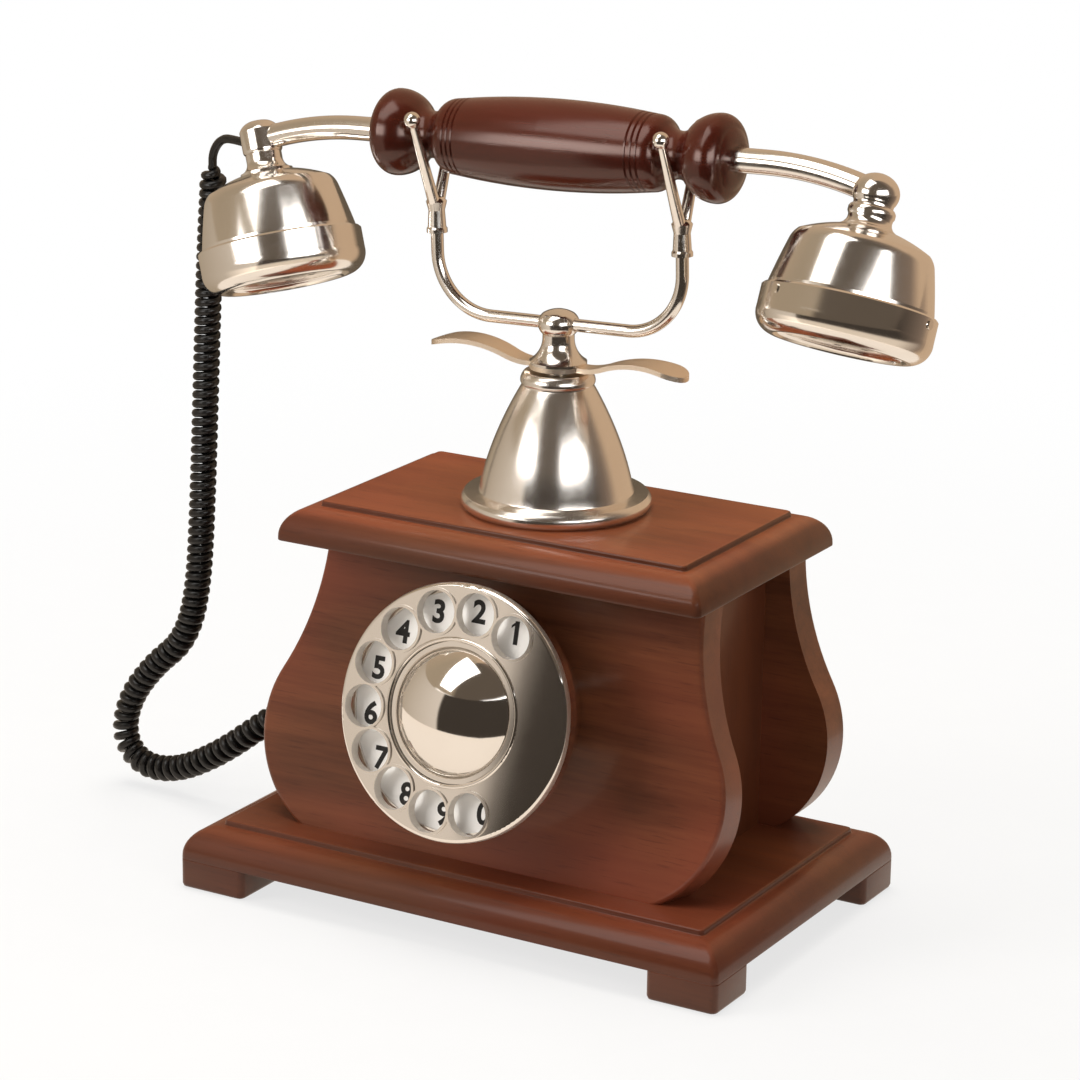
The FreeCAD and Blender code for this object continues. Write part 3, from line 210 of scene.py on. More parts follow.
def cloth(s, stops):
    """Colour by the turn round the table, from 0 to 1, where 0.5 is towards the camera."""
    place = s.node("ShaderNodeTexCoord", out="Object")
    x = s.node("ShaderNodeSeparateXYZ", inputs={0: place}, out="X")
    y = s.node("ShaderNodeSeparateXYZ", inputs={0: place}, out="Y")
    angle = s.node("ShaderNodeMath", {"operation": "ARCTAN2"}, {0: x, 1: 0 - y})
    turn = angle / (2 * math.pi) + 0.5
    return s.node("ShaderNodeValToRGB", {"stops": stops}, {0: turn})


beige = (0.38, 0.30, 0.21)
peach = (0.58, 0.41, 0.27)
umber = (0.115, 0.090, 0.068)
rear_peach = (0.55, 0.40, 0.27)
right_end = [(0.735, (0.22, 0.16, 0.12)), (0.775, peach), (0.90, peach)]
room_stops = [(0.0, rear_peach), (0.20, beige), (0.375, beige), (0.400, umber), (0.655, umber)]
room_stops += right_end + [(1.0, rear_peach)]


def room_cloth(s):
    return s.node("ShaderNodeEmission", inputs={"Color": cloth(s, room_stops)})


def sheer(s, colour):
    """A cloth that adds its colour to whatever stands behind it."""
    shining = s.node("ShaderNodeEmission", inputs={"Color": colour})
    clear = s.node("ShaderNodeBsdfTransparent")
    return s.node("ShaderNodeAddShader", inputs={0: shining, 1: clear})


def fade(s, start, end):
    """From 0 at one height above the table to 1 at another."""
    place = s.node("ShaderNodeTexCoord", out="Object")
    z = s.node("ShaderNodeSeparateXYZ", inputs={0: place}, out="Z")
    return s.node("ShaderNodeMapRange", {"interpolation_type": "SMOOTHSTEP"},
                  {"Value": z, "From Min": start, "From Max": end})


glow = (5.0, 5.0, 5.0)
unlit = (0.0, 0.0, 0.0)
left_panel = [(0.0, unlit), (0.290, unlit), (0.312, glow), (0.376, glow), (0.402, unlit)]
right_panel = [(0.510, unlit), (0.534, glow), (0.634, glow), (0.668, unlit)]
panel_foot = (0.20, 0.26)
panel_top = (0.48, 0.57)
right_cup_top = (0.72, 0.81)
left_cup_top = (1.18, 1.27)


def bright_panels(stops, foot, top):
    """Recipe for panels between two heights, each the start and the end of a soft edge."""
    def recipe(s):
        shown = fade(s, *foot) * (1 - fade(s, *top))
        colour = s.node("ShaderNodeMix", {"data_type": "RGBA"},
                        {0: shown, 6: (*unlit, 1), 7: cloth(s, stops)}, out=2)
        return sheer(s, colour)
    return recipe


def near_cloth(s):
    rear = (0.13, 0.10, 0.07)
    lit_edge = (0.72, 0.63, 0.54)
    dim = (0.05, 0.04, 0.032)
    left_end = [(0.0, rear), (0.06, rear), (0.10, beige), (0.3580, lit_edge), (0.3645, dim), (0.66, dim)]
    colour = cloth(s, left_end + right_end + [(0.94, rear), (1.0, rear)])
    return s.node("ShaderNodeEmission", inputs={"Color": colour})


pale_top = (0.12, 0.15)


def pale_cloth(s):
    pale = (0.72, 0.61, 0.49)
    round_front = cloth(s, [(0.0, unlit), (0.24, unlit), (0.36, pale), (0.66, pale), (0.74, unlit)])
    colour = s.node("ShaderNodeMix", {"data_type": "RGBA"},
                    {0: 1 - fade(s, *pale_top), 6: (*unlit, 1), 7: round_front}, out=2)
    return sheer(s, colour)


def overhead_cloth(s):
    return s.node("ShaderNodeEmission", inputs={"Color": (1, 0.98, 0.95, 1), "Strength": 2.6})


def shines_on(screen, pieces, state):
    """Links a screen's light to some pieces only (INCLUDE) or to all but them (EXCLUDE)."""
    group = bpy.data.collections.new(screen.name + "_mirrors")
    for piece in pieces:
        group.objects.link(piece)
    for row in group.collection_objects:
        row.light_linking.link_state = state
    screen.light_linking.receiver_collection = group


def only_mirrored(screen):
    """Shows a screen to reflections only."""
    screen.visible_camera = False
    screen.visible_diffuse = False
    screen.visible_transmission = False
    screen.visible_shadow = False


rear_part = 0.8
both_panels = left_panel + right_panel
screens = {}
for name, ring_r, left_foot, front_top, rear_top, recipe in (
        ("far_ring", 0.75, 0.0, 0.60, 0.60, room_cloth),
        ("panels", 0.745, 0.0, 0.58, 0.58, bright_panels(both_panels, panel_foot, panel_top)),
        ("right_cup_panel", 0.740, 0.0, 0.82, 0.82, bright_panels(right_panel, panel_top, right_cup_top)),
        ("left_cup_panel", 0.735, 0.0, 1.30, 1.30, bright_panels(right_panel, panel_top, left_cup_top)),
        ("near_ring", 0.25, 0.035, 0.212, 0.25, near_cloth),
        ("pale_ring", 0.245, 0.0, 0.16, 0.16, pale_cloth)):
    low = [(ring_r * math.sin(turn), -ring_r * math.cos(turn), left_foot * max(0.0, -math.sin(turn)))
           for turn in turns]
    high = [(x, y, rear_top if y > rear_part * ring_r else front_top) for x, y, _ in low]
    walls = [(k, (k + 1) % around, around + (k + 1) % around, around + k) for k in range(around)]
    ring = mesh_piece(name, low + high, walls, smooth=False)
    ring.data.materials.append(emitter(name + "_cloth", recipe))
    ring.rotation_euler = (0, 0, view_turn)
    only_mirrored(ring)
    screens[name] = ring
# The cups mirror a taller right panel than the other pieces do. The caps look down, so a pale ring
# stands for the paper that the near ring hides from them, and the right cap mirrors no panels.
shines_on(screens["panels"], [nodes["earpiece_cap"]], "EXCLUDE")
shines_on(screens["right_cup_panel"], [nodes["earpiece_bell"]], "INCLUDE")
shines_on(screens["left_cup_panel"], [nodes["mouthpiece_bell"], nodes["mouthpiece_cap"]], "INCLUDE")
shines_on(screens["pale_ring"], [nodes["earpiece_cap"], nodes["mouthpiece_cap"]], "INCLUDE")
ceiling_r = 4
ceiling_z = 1.6
ceiling_rim = [(ceiling_r * math.sin(turn), -ceiling_r * math.cos(turn), ceiling_z) for turn in turns]
ceiling = mesh_piece("ceiling", ceiling_rim, [list(range(around))], smooth=False)
ceiling.data.materials.append(emitter("ceiling_cloth", room_cloth))
ceiling.rotation_euler = (0, 0, view_turn)
only_mirrored(ceiling)
half_wide = 0.34
half_deep = 0.7
overhead_rim = [(half_wide * x, half_deep * y, 0) for x, y in ((-1, -1), (1, -1), (1, 1), (-1, 1))]
overhead = mesh_piece("overhead_screen", overhead_rim, [(0, 1, 2, 3)], smooth=False)
overhead.location = (-0.377, -0.708, 1.28)
overhead.rotation_euler = (0, 0, math.radians(-29.9))
overhead.data.materials.append(emitter("overhead_cloth", overhead_cloth))
only_mirrored(overhead)


# Wooden case. Boards of stained mahogany with a satin lacquer: a base board and a top board
# with moulded edges, four feet glued under the base, pear-shaped front and rear panels and
# flat sides. The grain runs along the boards.

def finish(name, recipe, **constants):
    """A material whose recipe gives what changes over the surface; the rest is constant."""
    made = bpy.data.materials.new(name)
    made.use_nodes = True
    tree = made.node_tree
    shader = tree.nodes["Principled BSDF"]
    for socket, value in constants.items():
        shader.inputs[socket.replace("_", " ")].default_value = value
    for socket, value in recipe(Shade(tree)).items():
        tree.links.new(value.socket, shader.inputs[socket])
    return made


pore_brown = (0.020, 0.006, 0.004, 1)


def stained_wood(along, dark, light, red, side_shade=1.0, matt=0.26):
    """Recipe for lacquered wood whose grain runs along one axis (0, 1 or 2). Faces that do not
    look up get painted shade: their colour is scaled down by a factor, so mouldings look shaded as if lit
    from above."""
    def stretched(coarse, fine):
        return tuple(coarse if axis == along else fine for axis in range(3))

    def recipe(s):
        place = s.node("ShaderNodeTexCoord", out="Object")

        def noise(scale, detail, roughness=0.55, distortion=0.0):
            spread = s.node("ShaderNodeMapping", inputs={"Vector": place, "Scale": scale})
            return s.node("ShaderNodeTexNoise", inputs={
                "Vector": spread, "Scale": 1.0, "Detail": detail,
                "Roughness": roughness, "Distortion": distortion})

        figure = noise(stretched(7.0, 55.0), 4.0, 0.5, 0.8)
        fibre = noise(stretched(22.0, 520.0), 5.0, 0.65)
        patch = noise(stretched(9.0, 14.0), 2.0)
        pore = noise(stretched(90.0, 1500.0), 2.0, 0.5)
        pores = s.node("ShaderNodeMapRange", inputs={
            "Value": pore, "From Min": 0.60, "From Max": 0.72, "To Min": 0.0, "To Max": 1.0})
        tone = s.node("ShaderNodeMapRange", inputs={
            "Value": figure * 0.65 + fibre * 0.35, "From Min": 0.32, "From Max": 0.68})
        stain = s.node("ShaderNodeMix", {"data_type": "RGBA"},
                       {0: tone, 6: (*dark, 1), 7: (*light, 1)}, out=2)
        blush = s.node("ShaderNodeMapRange", inputs={
            "Value": patch, "From Min": 0.42, "From Max": 0.68, "To Max": 0.75})
        warm = s.node("ShaderNodeMix", {"data_type": "RGBA"},
                      {0: blush, 6: stain, 7: (*red, 1)}, out=2)
        # Painted shade: faces that turn away from straight up get a darker stain, as if lit from above.
        facing = s.node("ShaderNodeSeparateXYZ", inputs={
            0: s.node("ShaderNodeNewGeometry", out="Normal")}, out="Z")
        painted_side_shade = s.node("ShaderNodeMapRange", {"interpolation_type": "SMOOTHSTEP"}, {
            "Value": facing, "From Min": 0.72, "From Max": 0.99, "To Min": side_shade, "To Max": 1.0})
        stained = s.node("ShaderNodeVectorMath", {"operation": "SCALE"}, {0: warm, "Scale": painted_side_shade})
        colour = s.node("ShaderNodeMix", {"data_type": "RGBA"},
                        {0: pores * 0.28, 6: stained, 7: pore_brown}, out=2)
        bump = s.node("ShaderNodeBump", inputs={
            "Strength": 0.25, "Distance": 0.00006, "Height": fibre * 0.5 - pores * 0.5})
        return {"Base Color": colour, "Roughness": fibre * 0.16 + patch * 0.08 + matt,
                "Normal": bump}
    return recipe


# Painted light: the top board's wood is a lighter copy of the base board's stain, so the top board looks
# lit from above.
top_wood = finish("top_wood", stained_wood(
    0, (0.120, 0.033, 0.0125), (0.232, 0.069, 0.0250), (0.225, 0.050, 0.0230), side_shade=0.42),
    Coat_Weight=0.30, Coat_Roughness=0.13, Specular_IOR_Level=0.25)
# Painted shade: the same stain as the top board's at about two thirds of its brightness, so the base
# board and the feet look shaded.
base_wood = finish("base_wood", stained_wood(
    0, (0.078, 0.020, 0.0080), (0.150, 0.043, 0.0160), (0.148, 0.032, 0.0150), side_shade=0.62),
    Coat_Weight=0.30, Coat_Roughness=0.13, Specular_IOR_Level=0.25)
board_wood = finish("board_wood", stained_wood(
    0, (0.062, 0.018, 0.0075), (0.178, 0.056, 0.0225), (0.200, 0.042, 0.0215)),
    Coat_Weight=0.32, Coat_Roughness=0.16, Specular_IOR_Level=0.25)
upright_wood = finish("upright_wood", stained_wood(
    2, (0.068, 0.018, 0.0070), (0.125, 0.036, 0.0130), (0.122, 0.029, 0.0125)),
    Coat_Weight=0.25, Coat_Roughness=0.14, Specular_IOR_Level=0.25)


def soft_block(middle, loops, bored=False):
    """A closed block through rounded rectangles, each (half_x, half_y, corner_r, z). When it is
    bored, the last loop joins the first round a hole."""
    parts = 5
    count = 4 * parts
    points = []
    for half_x, half_y, corner_r, z in loops:
        for quarter, (side_x, side_y) in enumerate(((1, 1), (-1, 1), (-1, -1), (1, -1))):
            for part in range(parts):
                turn = math.radians(90 * quarter + 90 / (parts - 1) * part)
                points.append((middle[0] + side_x * (half_x - corner_r) + corner_r * math.cos(turn),
                               middle[1] + side_y * (half_y - corner_r) + corner_r * math.sin(turn), z))
    rows = len(loops)
    faces = [(count * row + k, count * row + (k + 1) % count,
              count * ((row + 1) % rows) + (k + 1) % count, count * ((row + 1) % rows) + k)
             for row in range(rows if bored else rows - 1) for k in range(count)]
    caps = [list(range(count))[::-1], [count * (rows - 1) + k for k in range(count)]]
    return points, faces if bored else faces + caps


# Moulded edge, as how far out from the board's flat top and how high above its underside: a
# small lower arris, a quarter round, and a small step up to the flat.
round_r = 0.0092
round_middle = 0.0010
round_steps = 12
board_edge = [(0.0098, 0.0), (0.0100, 0.0), (0.01015, 0.00005), (0.0102, 0.0002)]
for k in range(round_steps + 1):
    turn = math.pi * k / (2 * round_steps)
    board_edge.append((round_middle + round_r * math.cos(turn), round_middle + round_r * math.sin(turn)))
board_edge += [(0.0004, 0.0102), (0.0001, 0.0103), (0.0, 0.0106), (0.0, 0.0113),
               (-0.0002, 0.0118), (-0.0006, 0.0120), (-0.0009, 0.0120)]
board_corner_r = 0.0014
corner_growth = 0.08
case_x = -0.0033
top_y = 0.0082
bush_hole = [(0.0067, 0.0120), (0.0061, 0.0120), (0.0061, 0.0), (0.0067, 0.0)]
hole_flat = 0.0002
for name, wood, middle_y, half_x, half_y, under, hole in (
        ("base_board", base_wood, 0.0, 0.0865, 0.0510, 0.0095, []),
        ("top_board", top_wood, top_y, 0.0650, 0.0355, 0.1132, bush_hole)):
    loops = [(half_x + out, half_y + out, board_corner_r + corner_growth * out, under + rise)
             for out, rise in board_edge]
    loops += [(r + hole_flat, r + hole_flat, r, under + rise) for r, rise in hole]
    board = mesh_piece(name + "_soft", *soft_block((case_x, middle_y), loops, bored=bool(hole)))
    board.data.materials.append(wood)
    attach(board, "case")
    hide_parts(name)
foot_x = 0.0847
foot_y = 0.05045
foot_half_x = 0.0120
foot_half_y = 0.01075
foot_corner_r = 0.0022
foot_edge = [(-0.0014, 0.0), (-0.0011, 0.0), (-0.0004, 0.0003), (0.0, 0.0012), (0.0, 0.0092),
             (0.0, 0.00955), (-0.0006, 0.00955)]
foot_loops = [(foot_half_x + out, foot_half_y + out, foot_corner_r + out, z) for out, z in foot_edge]
feet_points = []
feet_faces = []
for side_x, side_y in ((1, 1), (-1, 1), (-1, -1), (1, -1)):
    points, faces = soft_block((case_x + side_x * foot_x, side_y * foot_y), foot_loops)
    feet_faces += [[len(feet_points) + k for k in face] for face in faces]
    feet_points += points
feet = mesh_piece("feet_soft", feet_points, feet_faces)
feet.data.materials.append(base_wood)
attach(feet, "case")
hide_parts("feet")
for name in ("front_panel", "rear_panel"):
    nodes[name].material_slots[0].material = board_wood
for name in ("left_side_panel", "right_side_panel"):
    nodes[name].material_slots[0].material = upright_wood


# Steel and brass inside. Turned and pressed fittings: screws, nuts, the plunger with its
# clip and spring, the switch bracket, the dial's frame, shaft, spring and wheels.

def machined(colour, worn):
    def recipe(s):
        place = s.node("ShaderNodeTexCoord", out="Object")
        marks = s.node("ShaderNodeTexNoise", inputs={"Vector": place, "Scale": 900.0, "Detail": 3.0})
        tint = s.node("ShaderNodeMix", {"data_type": "RGBA"},
                      {0: marks, 6: (*worn, 1), 7: (*colour, 1)}, out=2)
        return {"Base Color": tint, "Roughness": marks * 0.2 + 0.22}
    return recipe


bright_steel = finish("bright_steel", machined((0.62, 0.62, 0.62), (0.48, 0.47, 0.46)), Metallic=1.0)
turned_brass = finish("turned_brass", machined((0.72, 0.55, 0.25), (0.60, 0.43, 0.18)), Metallic=1.0)
for name in ("base_screws", "bush_nut", "plunger", "plunger_clip", "plunger_spring", "switch_bracket",
             "bell_nuts", "dial_screws", "dial_frame", "return_spring", "dial_shaft"):
    nodes[name].material_slots[0].material = bright_steel
for name in ("guide_bush", "main_gear", "governor_spindle"):
    nodes[name].material_slots[0].material = turned_brass


# Electrics. A laminate board on moulded standoffs with the ringer, the hook switch, the line
# socket in the rear panel and the two capsules in the handset's cups.

def moulded(s):
    place = s.node("ShaderNodeTexCoord", out="Object")
    grain = s.node("ShaderNodeTexNoise", inputs={"Vector": place, "Scale": 1400.0, "Detail": 2.0})
    tint = s.node("ShaderNodeMix", {"data_type": "RGBA"},
                  {0: grain, 6: (0.018, 0.018, 0.018, 1), 7: (0.035, 0.034, 0.033, 1)}, out=2)
    bump = s.node("ShaderNodeBump", inputs={"Strength": 0.2, "Distance": 0.00005, "Height": grain})
    return {"Base Color": tint, "Roughness": grain * 0.15 + 0.38, "Normal": bump}


def laminate(s):
    place = s.node("ShaderNodeTexCoord", out="Object")
    weave = s.node("ShaderNodeTexNoise", inputs={"Vector": place, "Scale": 700.0, "Detail": 2.0})
    tint = s.node("ShaderNodeMix", {"data_type": "RGBA"},
                  {0: weave, 6: (0.03, 0.16, 0.06, 1), 7: (0.06, 0.26, 0.11, 1)}, out=2)
    return {"Base Color": tint, "Roughness": weave * 0.1 + 0.3}


black_moulding = finish("black_moulding", moulded)
green_laminate = finish("green_laminate", laminate)
for name in ("hook_switch", "ringer", "line_jack", "board_standoffs", "receiver_capsule",
             "microphone_capsule"):
    nodes[name].material_slots[0].material = black_moulding
nodes["circuit_board"].material_slots[0].material = green_laminate


# Column, cradle and cups. Brass spun, turned and bent to shape, then polished and plated with
# warm nickel. The column is a hollow spinning round the plunger's bush. The right knuckle is
# turned in one piece with its bead and ball.

def plated(rough, low=(0.84, 0.79, 0.73), high=(0.93, 0.89, 0.84)):
    """Recipe for plating between two tints, with haze and fine rub marks about a roughness."""
    def recipe(s):
        place = s.node("ShaderNodeTexCoord", out="Object")
        haze = s.node("ShaderNodeTexNoise", inputs={"Vector": place, "Scale": 45.0, "Detail": 3.0})
        rub = s.node("ShaderNodeTexNoise", inputs={"Vector": place, "Scale": 420.0, "Detail": 4.0})
        tint = s.node("ShaderNodeMix", {"data_type": "RGBA"},
                      {0: haze, 6: (*low, 1), 7: (*high, 1)}, out=2)
        bump = s.node("ShaderNodeBump", inputs={"Strength": 0.05, "Distance": 0.0002, "Height": haze})
        return {"Base Color": tint, "Roughness": (haze * 0.5 + rub * 0.45 + 0.5) * rough, "Normal": bump}
    return recipe


warm_nickel = finish("warm_nickel", plated(0.15), Metallic=1.0)
soft_nickel = finish("soft_nickel", plated(0.21), Metallic=1.0)
satin_nickel = finish("satin_nickel", plated(0.38, (0.92, 0.77, 0.62), (0.98, 0.85, 0.70)), Metallic=1.0)
bright_nickel = finish("bright_nickel", plated(0.07), Metallic=1.0)
nodes["leaf_lever"].material_slots[0].material = satin_nickel
for name in ("cradle_hub", "cradle_yoke", "left_fork", "right_fork", "earpiece_tube",
             "mouthpiece_tube", "mouthpiece_knuckle", "earpiece_bell", "mouthpiece_bell",
             "earpiece_cap", "mouthpiece_cap", "cap_screws"):
    nodes[name].material_slots[0].material = warm_nickel
for name in ("dial_cup", "dial_dome"):
    nodes[name].material_slots[0].material = bright_nickel


def curved(start, middle, end, count=12):
    """Points of a shallow arc through three places, with the first left out."""
    arc = []
    for k in range(1, count + 1):
        t = k / count
        arc.append(tuple(a * (1 - t) * (1 - 2 * t) + b * 4 * t * (1 - t) + c * t * (2 * t - 1)
                         for a, b, c in zip(start, middle, end)))
    return arc


sharp_turn = math.radians(35)


def turned(name, material, profile, foot, axis, bored=False, sides=96):
    """A closed lathe form: radius and rise pairs turned about an axis through foot. When it is
    bored, the last pair joins the first; otherwise both ends are capped."""
    axis = Vector(axis).normalized()
    across = axis.orthogonal().normalized()
    other = axis.cross(across)
    points = [Vector(foot) + axis * rise + (across * math.cos(2 * math.pi * k / sides)
                                            + other * math.sin(2 * math.pi * k / sides)) * r
              for r, rise in profile for k in range(sides)]
    rows = len(profile)
    faces = [(row * sides + k, row * sides + (k + 1) % sides,
              (row + 1) % rows * sides + (k + 1) % sides, (row + 1) % rows * sides + k)
             for row in range(rows if bored else rows - 1) for k in range(sides)]
    caps = [] if bored else [list(range(sides))[::-1], [(rows - 1) * sides + k for k in range(sides)]]
    piece = mesh_piece(name, points, faces + caps)
    piece.data.set_sharp_from_angle(angle=sharp_turn)
    piece.data.materials.append(material)
    return piece


flange = [(0.0062, 0.0), (0.0288, 0.0)] + curved((0.0288, 0.0), (0.0300, 0.0024), (0.0288, 0.0048))
flange += [(0.0262, 0.0051), (0.0252, 0.0052), (0.0244, 0.0055), (0.0242, 0.0060)]
cone = curved((0.0242, 0.0060), (0.0193, 0.0225), (0.0114, 0.0390), 16)
collar = [(0.0112, 0.03925), (0.0112, 0.03950), (0.0115, 0.03985)]
collar += curved((0.0115, 0.03985), (0.0117, 0.0413), (0.0109, 0.0431), 8)
collar += [(0.0105, 0.0435), (0.0100, 0.0436)]
inside = [(0.0041, 0.0436), (0.0041, 0.0406), (0.0098, 0.0406), (0.0226, 0.0060), (0.0226, 0.0020),
          (0.0062, 0.0020)]
column_z = 0.1252
column = turned("column_spun", soft_nickel, flange + cone + collar + inside,
                (case_x, top_y, column_z), (0, 0, 1), bored=True)
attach(column, "case")
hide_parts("column")
ball_r = 0.0070
ball_h = 0.0060
ball_z = -0.0002
ball = [(ball_r * math.cos(math.radians(turn)), ball_z + ball_h * math.sin(math.radians(turn)))
        for turn in range(-30, 90, 6)]
flare = [(0.0086, -0.0112), (0.0084, -0.0108), (0.0075, -0.0102), (0.0068, -0.0092), (0.0066, -0.0082)]
bead = [(0.0067, -0.0074), (0.0071, -0.0066), (0.0071, -0.0053), (0.0066, -0.0045)]
waist = [(0.0060, -0.0041), (0.0060, -0.0036)]
knuckle_middle = (0.10332, 0.007135, 0.237216)
knuckle_axis = (0.03743, 0.37369, 0.92680)
knuckle = turned("earpiece_knuckle_turned", warm_nickel, flare + bead + waist + ball,
                 knuckle_middle, knuckle_axis)
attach(knuckle, "handset")
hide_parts("earpiece_knuckle")


# Number plate and finger wheel. A pressed disc with an off-white enamel stands still behind the
# punched and plated wheel, with black printed figures in upright sans letters, one behind each
# hole.

def enamel(s):
    place = s.node("ShaderNodeTexCoord", out="Object")
    cloud = s.node("ShaderNodeTexNoise", inputs={"Vector": place, "Scale": 80.0, "Detail": 2.0})
    tint = s.node("ShaderNodeMix", {"data_type": "RGBA"},
                  {0: cloud, 6: (0.92, 0.91, 0.89, 1), 7: (0.97, 0.96, 0.94, 1)}, out=2)
    return {"Base Color": tint, "Roughness": cloud * 0.12 + 0.28}


nodes["number_plate"].material_slots[0].material = finish("plate_enamel", enamel)
panel_lean = math.radians(13.9)
dial_across = Vector((1, 0, 0))
dial_up = Vector((0, math.sin(panel_lean), math.cos(panel_lean)))
dial_out = Vector((0, -math.cos(panel_lean), math.sin(panel_lean)))


def punched(s):
    """Polished plating on the wheel's face, left dull on the walls of its holes."""
    look = plated(0.07)(s)
    facing = s.node("ShaderNodeVectorMath", {"operation": "DOT_PRODUCT"},
                    {0: s.node("ShaderNodeNewGeometry", out="Normal"), 1: dial_out}, out="Value")
    dull = s.node("ShaderNodeMapRange", {"interpolation_type": "SMOOTHSTEP"}, {
        "Value": facing, "From Min": 0.25, "From Max": 0.6, "To Min": 0.5, "To Max": 0.0})
    look["Roughness"] = look["Roughness"] + dull
    return look


nodes["finger_wheel"].material_slots[0].material = finish("punched_nickel", punched, Metallic=1.0)
panel_base = Vector((case_x, -0.0409, 0.0215))
dial_rise = 0.0485
dial_middle = panel_base + dial_up * dial_rise
plate_out = 0.02034
figure_r = 0.0316
figure_h = 0.0068
capital_share = 0.70
figure_bold = 0.0003
first_hole = 59.7
hole_step = 26.1
one_flag = [(-0.0003, 0.0034), (-0.0019, 0.0021), (-0.0019, 0.0012), (-0.0003, 0.0024)]
figure_points = []
figure_faces = []
for place in range(10):
    letter = bpy.data.curves.new("figure", "FONT")
    letter.body = str((place + 1) % 10)
    letter.align_x = "CENTER"
    letter.size = figure_h / capital_share
    letter.offset = figure_bold
    letter.resolution_u = 4
    holder = bpy.data.objects.new("figure", letter)
    scene.collection.objects.link(holder)
    bpy.context.view_layer.update()
    printed = bpy.data.meshes.new_from_object(holder.evaluated_get(bpy.context.evaluated_depsgraph_get()))
    turn = math.radians(first_hole + hole_step * place)
    middle = dial_middle + dial_out * plate_out
    middle += dial_across * figure_r * math.cos(turn) + dial_up * figure_r * math.sin(turn)
    first = len(figure_points)
    figure_points += [middle + dial_across * v.co.x + dial_up * (v.co.y - figure_h / 2)
                      for v in printed.vertices]
    figure_faces += [[first + k for k in face.vertices] for face in printed.polygons]
    if place == 0:
        figure_faces.append([len(figure_points) + k for k in range(len(one_flag))])
        figure_points += [middle + dial_across * x + dial_up * y for x, y in one_flag]
    bpy.data.objects.remove(holder)
    bpy.data.meshes.remove(printed)


def ink(s):
    place = s.node("ShaderNodeTexCoord", out="Object")
    speck = s.node("ShaderNodeTexNoise", inputs={"Vector": place, "Scale": 2500.0})
    tint = s.node("ShaderNodeMix", {"data_type": "RGBA"},
                  {0: speck, 6: (0.006, 0.006, 0.006, 1), 7: (0.016, 0.015, 0.015, 1)}, out=2)
    return {"Base Color": tint, "Roughness": speck * 0.2 + 0.35}


figures = mesh_piece("dial_figures", figure_points, figure_faces, smooth=False)
figures.data.materials.append(finish("figure_ink", ink))
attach(figures, "case")


# Handle. Turned from one piece of darker mahogany, with a ribbed band of fine grooves near
# each end of the barrel, lacquered on the lathe.

handle_wood = finish("handle_wood", stained_wood(
    0, (0.022, 0.0032, 0.0014), (0.052, 0.0072, 0.0026), (0.054, 0.0064, 0.0029), matt=0.07),
    Specular_IOR_Level=0.75, Specular_Tint=(1.0, 0.78, 0.70, 1))
nodes["handle_grip"].material_slots[0].material = handle_wood


# Cord. A black curly cord in one glossy jacket. A short straight lead leaves the left knuckle,
# bends down into the curls, which hang behind the cup, loop on the table and enter the case.

def jacket(s):
    place = s.node("ShaderNodeTexCoord", out="Object")
    scuff = s.node("ShaderNodeTexNoise", inputs={"Vector": place, "Scale": 260.0, "Detail": 3.0})
    tint = s.node("ShaderNodeMix", {"data_type": "RGBA"},
                  {0: scuff, 6: (0.0035, 0.0035, 0.0035, 1), 7: (0.010, 0.009, 0.0085, 1)}, out=2)
    return {"Base Color": tint, "Roughness": scuff * 0.18 + 0.22}


black_jacket = finish("black_jacket", jacket, Coat_Weight=0.15, Coat_Roughness=0.1,
                      Specular_IOR_Level=0.35)
for name in ("cord_boot", "case_grommet"):
    nodes[name].material_slots[0].material = black_jacket
lead_places = [
    (-0.12062, 0.00965, 0.22723), (-0.12600, 0.01160, 0.22740), (-0.13340, 0.01410, 0.22690),
    (-0.13800, 0.01530, 0.22150)]
curl_places = [
    (-0.13820, 0.01570, 0.21540), (-0.13850, 0.01610, 0.20900), (-0.14030, 0.01720, 0.19600),
    (-0.14190, 0.01780, 0.17600), (-0.14220, 0.01650, 0.15000), (-0.14160, 0.01250, 0.10300),
    (-0.14230, 0.01020, 0.07200), (-0.14750, 0.00930, 0.05450), (-0.15980, 0.00880, 0.04400),
    (-0.17030, 0.00850, 0.03000), (-0.17290, 0.00830, 0.01600), (-0.16530, 0.00800, 0.00720),
    (-0.15030, 0.00750, 0.00800), (-0.13130, 0.00630, 0.01830), (-0.11230, 0.00500, 0.03300),
    (-0.09430, 0.00370, 0.04600), (-0.07285, 0.00300, 0.05100), (-0.06885, 0.00300, 0.05100),
    (-0.06485, 0.00300, 0.05100)]
route = bpy.data.curves.new("cord_route", "CURVE")
route.dimensions = "3D"
spline = route.splines.new("NURBS")
spline.points.add(len(lead_places) + len(curl_places) - 1)
for point, place in zip(spline.points, lead_places + curl_places):
    point.co = (*place, 1.0)
spline.order_u = 3
spline.use_endpoint_u = True
spline.resolution_u = 24
route_holder = bpy.data.objects.new("cord_route", route)
scene.collection.objects.link(route_holder)
bpy.context.view_layer.update()
line = bpy.data.meshes.new_from_object(route_holder.evaluated_get(bpy.context.evaluated_depsgraph_get()))
middles = [v.co.copy() for v in line.vertices]
bpy.data.objects.remove(route_holder)
bpy.data.meshes.remove(line)

runs = [0.0]
for a, b in zip(middles, middles[1:]):
    runs.append(runs[-1] + (b - a).length)


def on_route(run):
    """Point and direction at a length along the cord's middle line."""
    k = next((k for k in range(1, len(runs) - 1) if runs[k] >= run), len(runs) - 1)
    share = (run - runs[k - 1]) / (runs[k] - runs[k - 1])
    return middles[k - 1].lerp(middles[k], share), (middles[k] - middles[k - 1]).normalized()


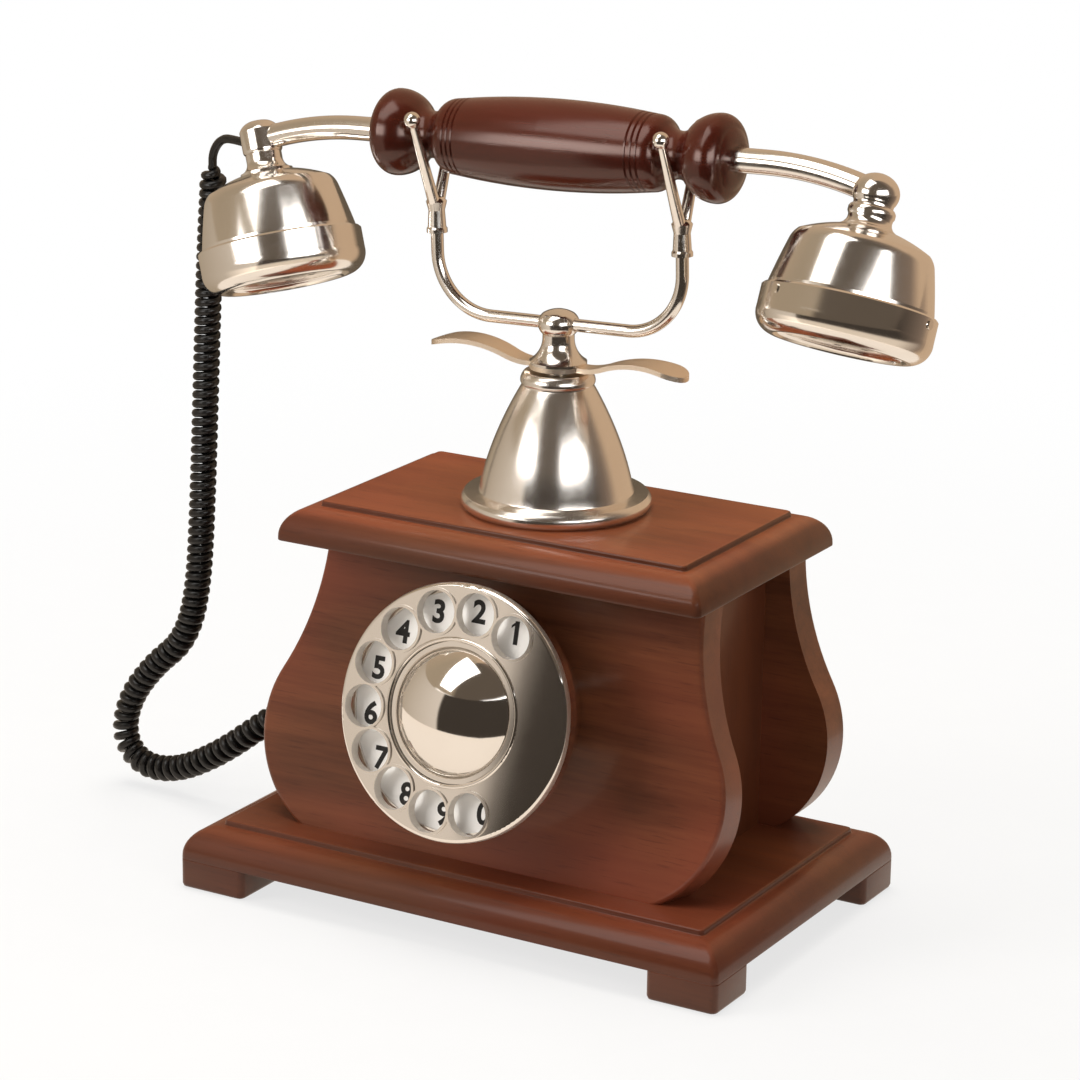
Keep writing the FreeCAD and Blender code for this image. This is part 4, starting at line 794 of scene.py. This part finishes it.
wire_r = 0.00145
curl_r = 0.0031
steps = 16
lead_end_z = 0.2175
lead_steps = 24
lead_run = next(run for run, middle in zip(runs, middles) if middle.z < lead_end_z)
straight_end = 0.003
foot_run = runs[-1] - straight_end
ramp = 0.005
pitches = [(0.0, 0.0031), (0.44, 0.0031), (0.56, 0.0035), (0.74, 0.0035), (0.84, 0.0043), (1.0, 0.0043)]


def pitch_at(share):
    """Rise of one curl, close where the cord hangs and wider where it climbs to the case."""
    for (low_share, low_pitch), (high_share, high_pitch) in zip(pitches, pitches[1:]):
        if share <= high_share:
            return low_pitch + (high_pitch - low_pitch) * (share - low_share) / (high_share - low_share)
    return pitches[-1][1]


wire = [on_route(lead_run * k / lead_steps)[0] for k in range(lead_steps)]
side = Vector((0, -1, 0))
run = lead_run
turn = 0.0
while run < foot_run:
    middle, along = on_route(run)
    side = (side - along * side.dot(along)).normalized()
    near = min(1.0, min(run - lead_run, foot_run - run) / ramp)
    opened = curl_r * near * near * (3 - 2 * near)
    wire.append(middle + (side * math.cos(turn) + along.cross(side) * math.sin(turn)) * opened)
    run += pitch_at((run - lead_run) / (foot_run - lead_run)) / steps
    turn += 2 * math.pi / steps
wire.append(middles[-1])

sides = 10
skin_points = []
across = Vector((0, 0, 1))
for k, middle in enumerate(wire):
    along = (wire[min(k + 1, len(wire) - 1)] - wire[max(k - 1, 0)]).normalized()
    across = (across - along * across.dot(along)).normalized()
    other = along.cross(across)
    skin_points += [middle + (across * math.cos(2 * math.pi * j / sides)
                              + other * math.sin(2 * math.pi * j / sides)) * wire_r for j in range(sides)]
skin = [(k * sides + j, k * sides + (j + 1) % sides,
         (k + 1) * sides + (j + 1) % sides, (k + 1) * sides + j)
        for k in range(len(wire) - 1) for j in range(sides)]
ends = [list(range(sides))[::-1], [(len(wire) - 1) * sides + j for j in range(sides)]]
cord = mesh_piece("curly_cord", skin_points, skin + ends)
cord.data.materials.append(black_jacket)
wire_length = sum((b - a).length for a, b in zip(wire, wire[1:]))
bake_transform(cord)
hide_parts("handset_cord", "cord_lead")
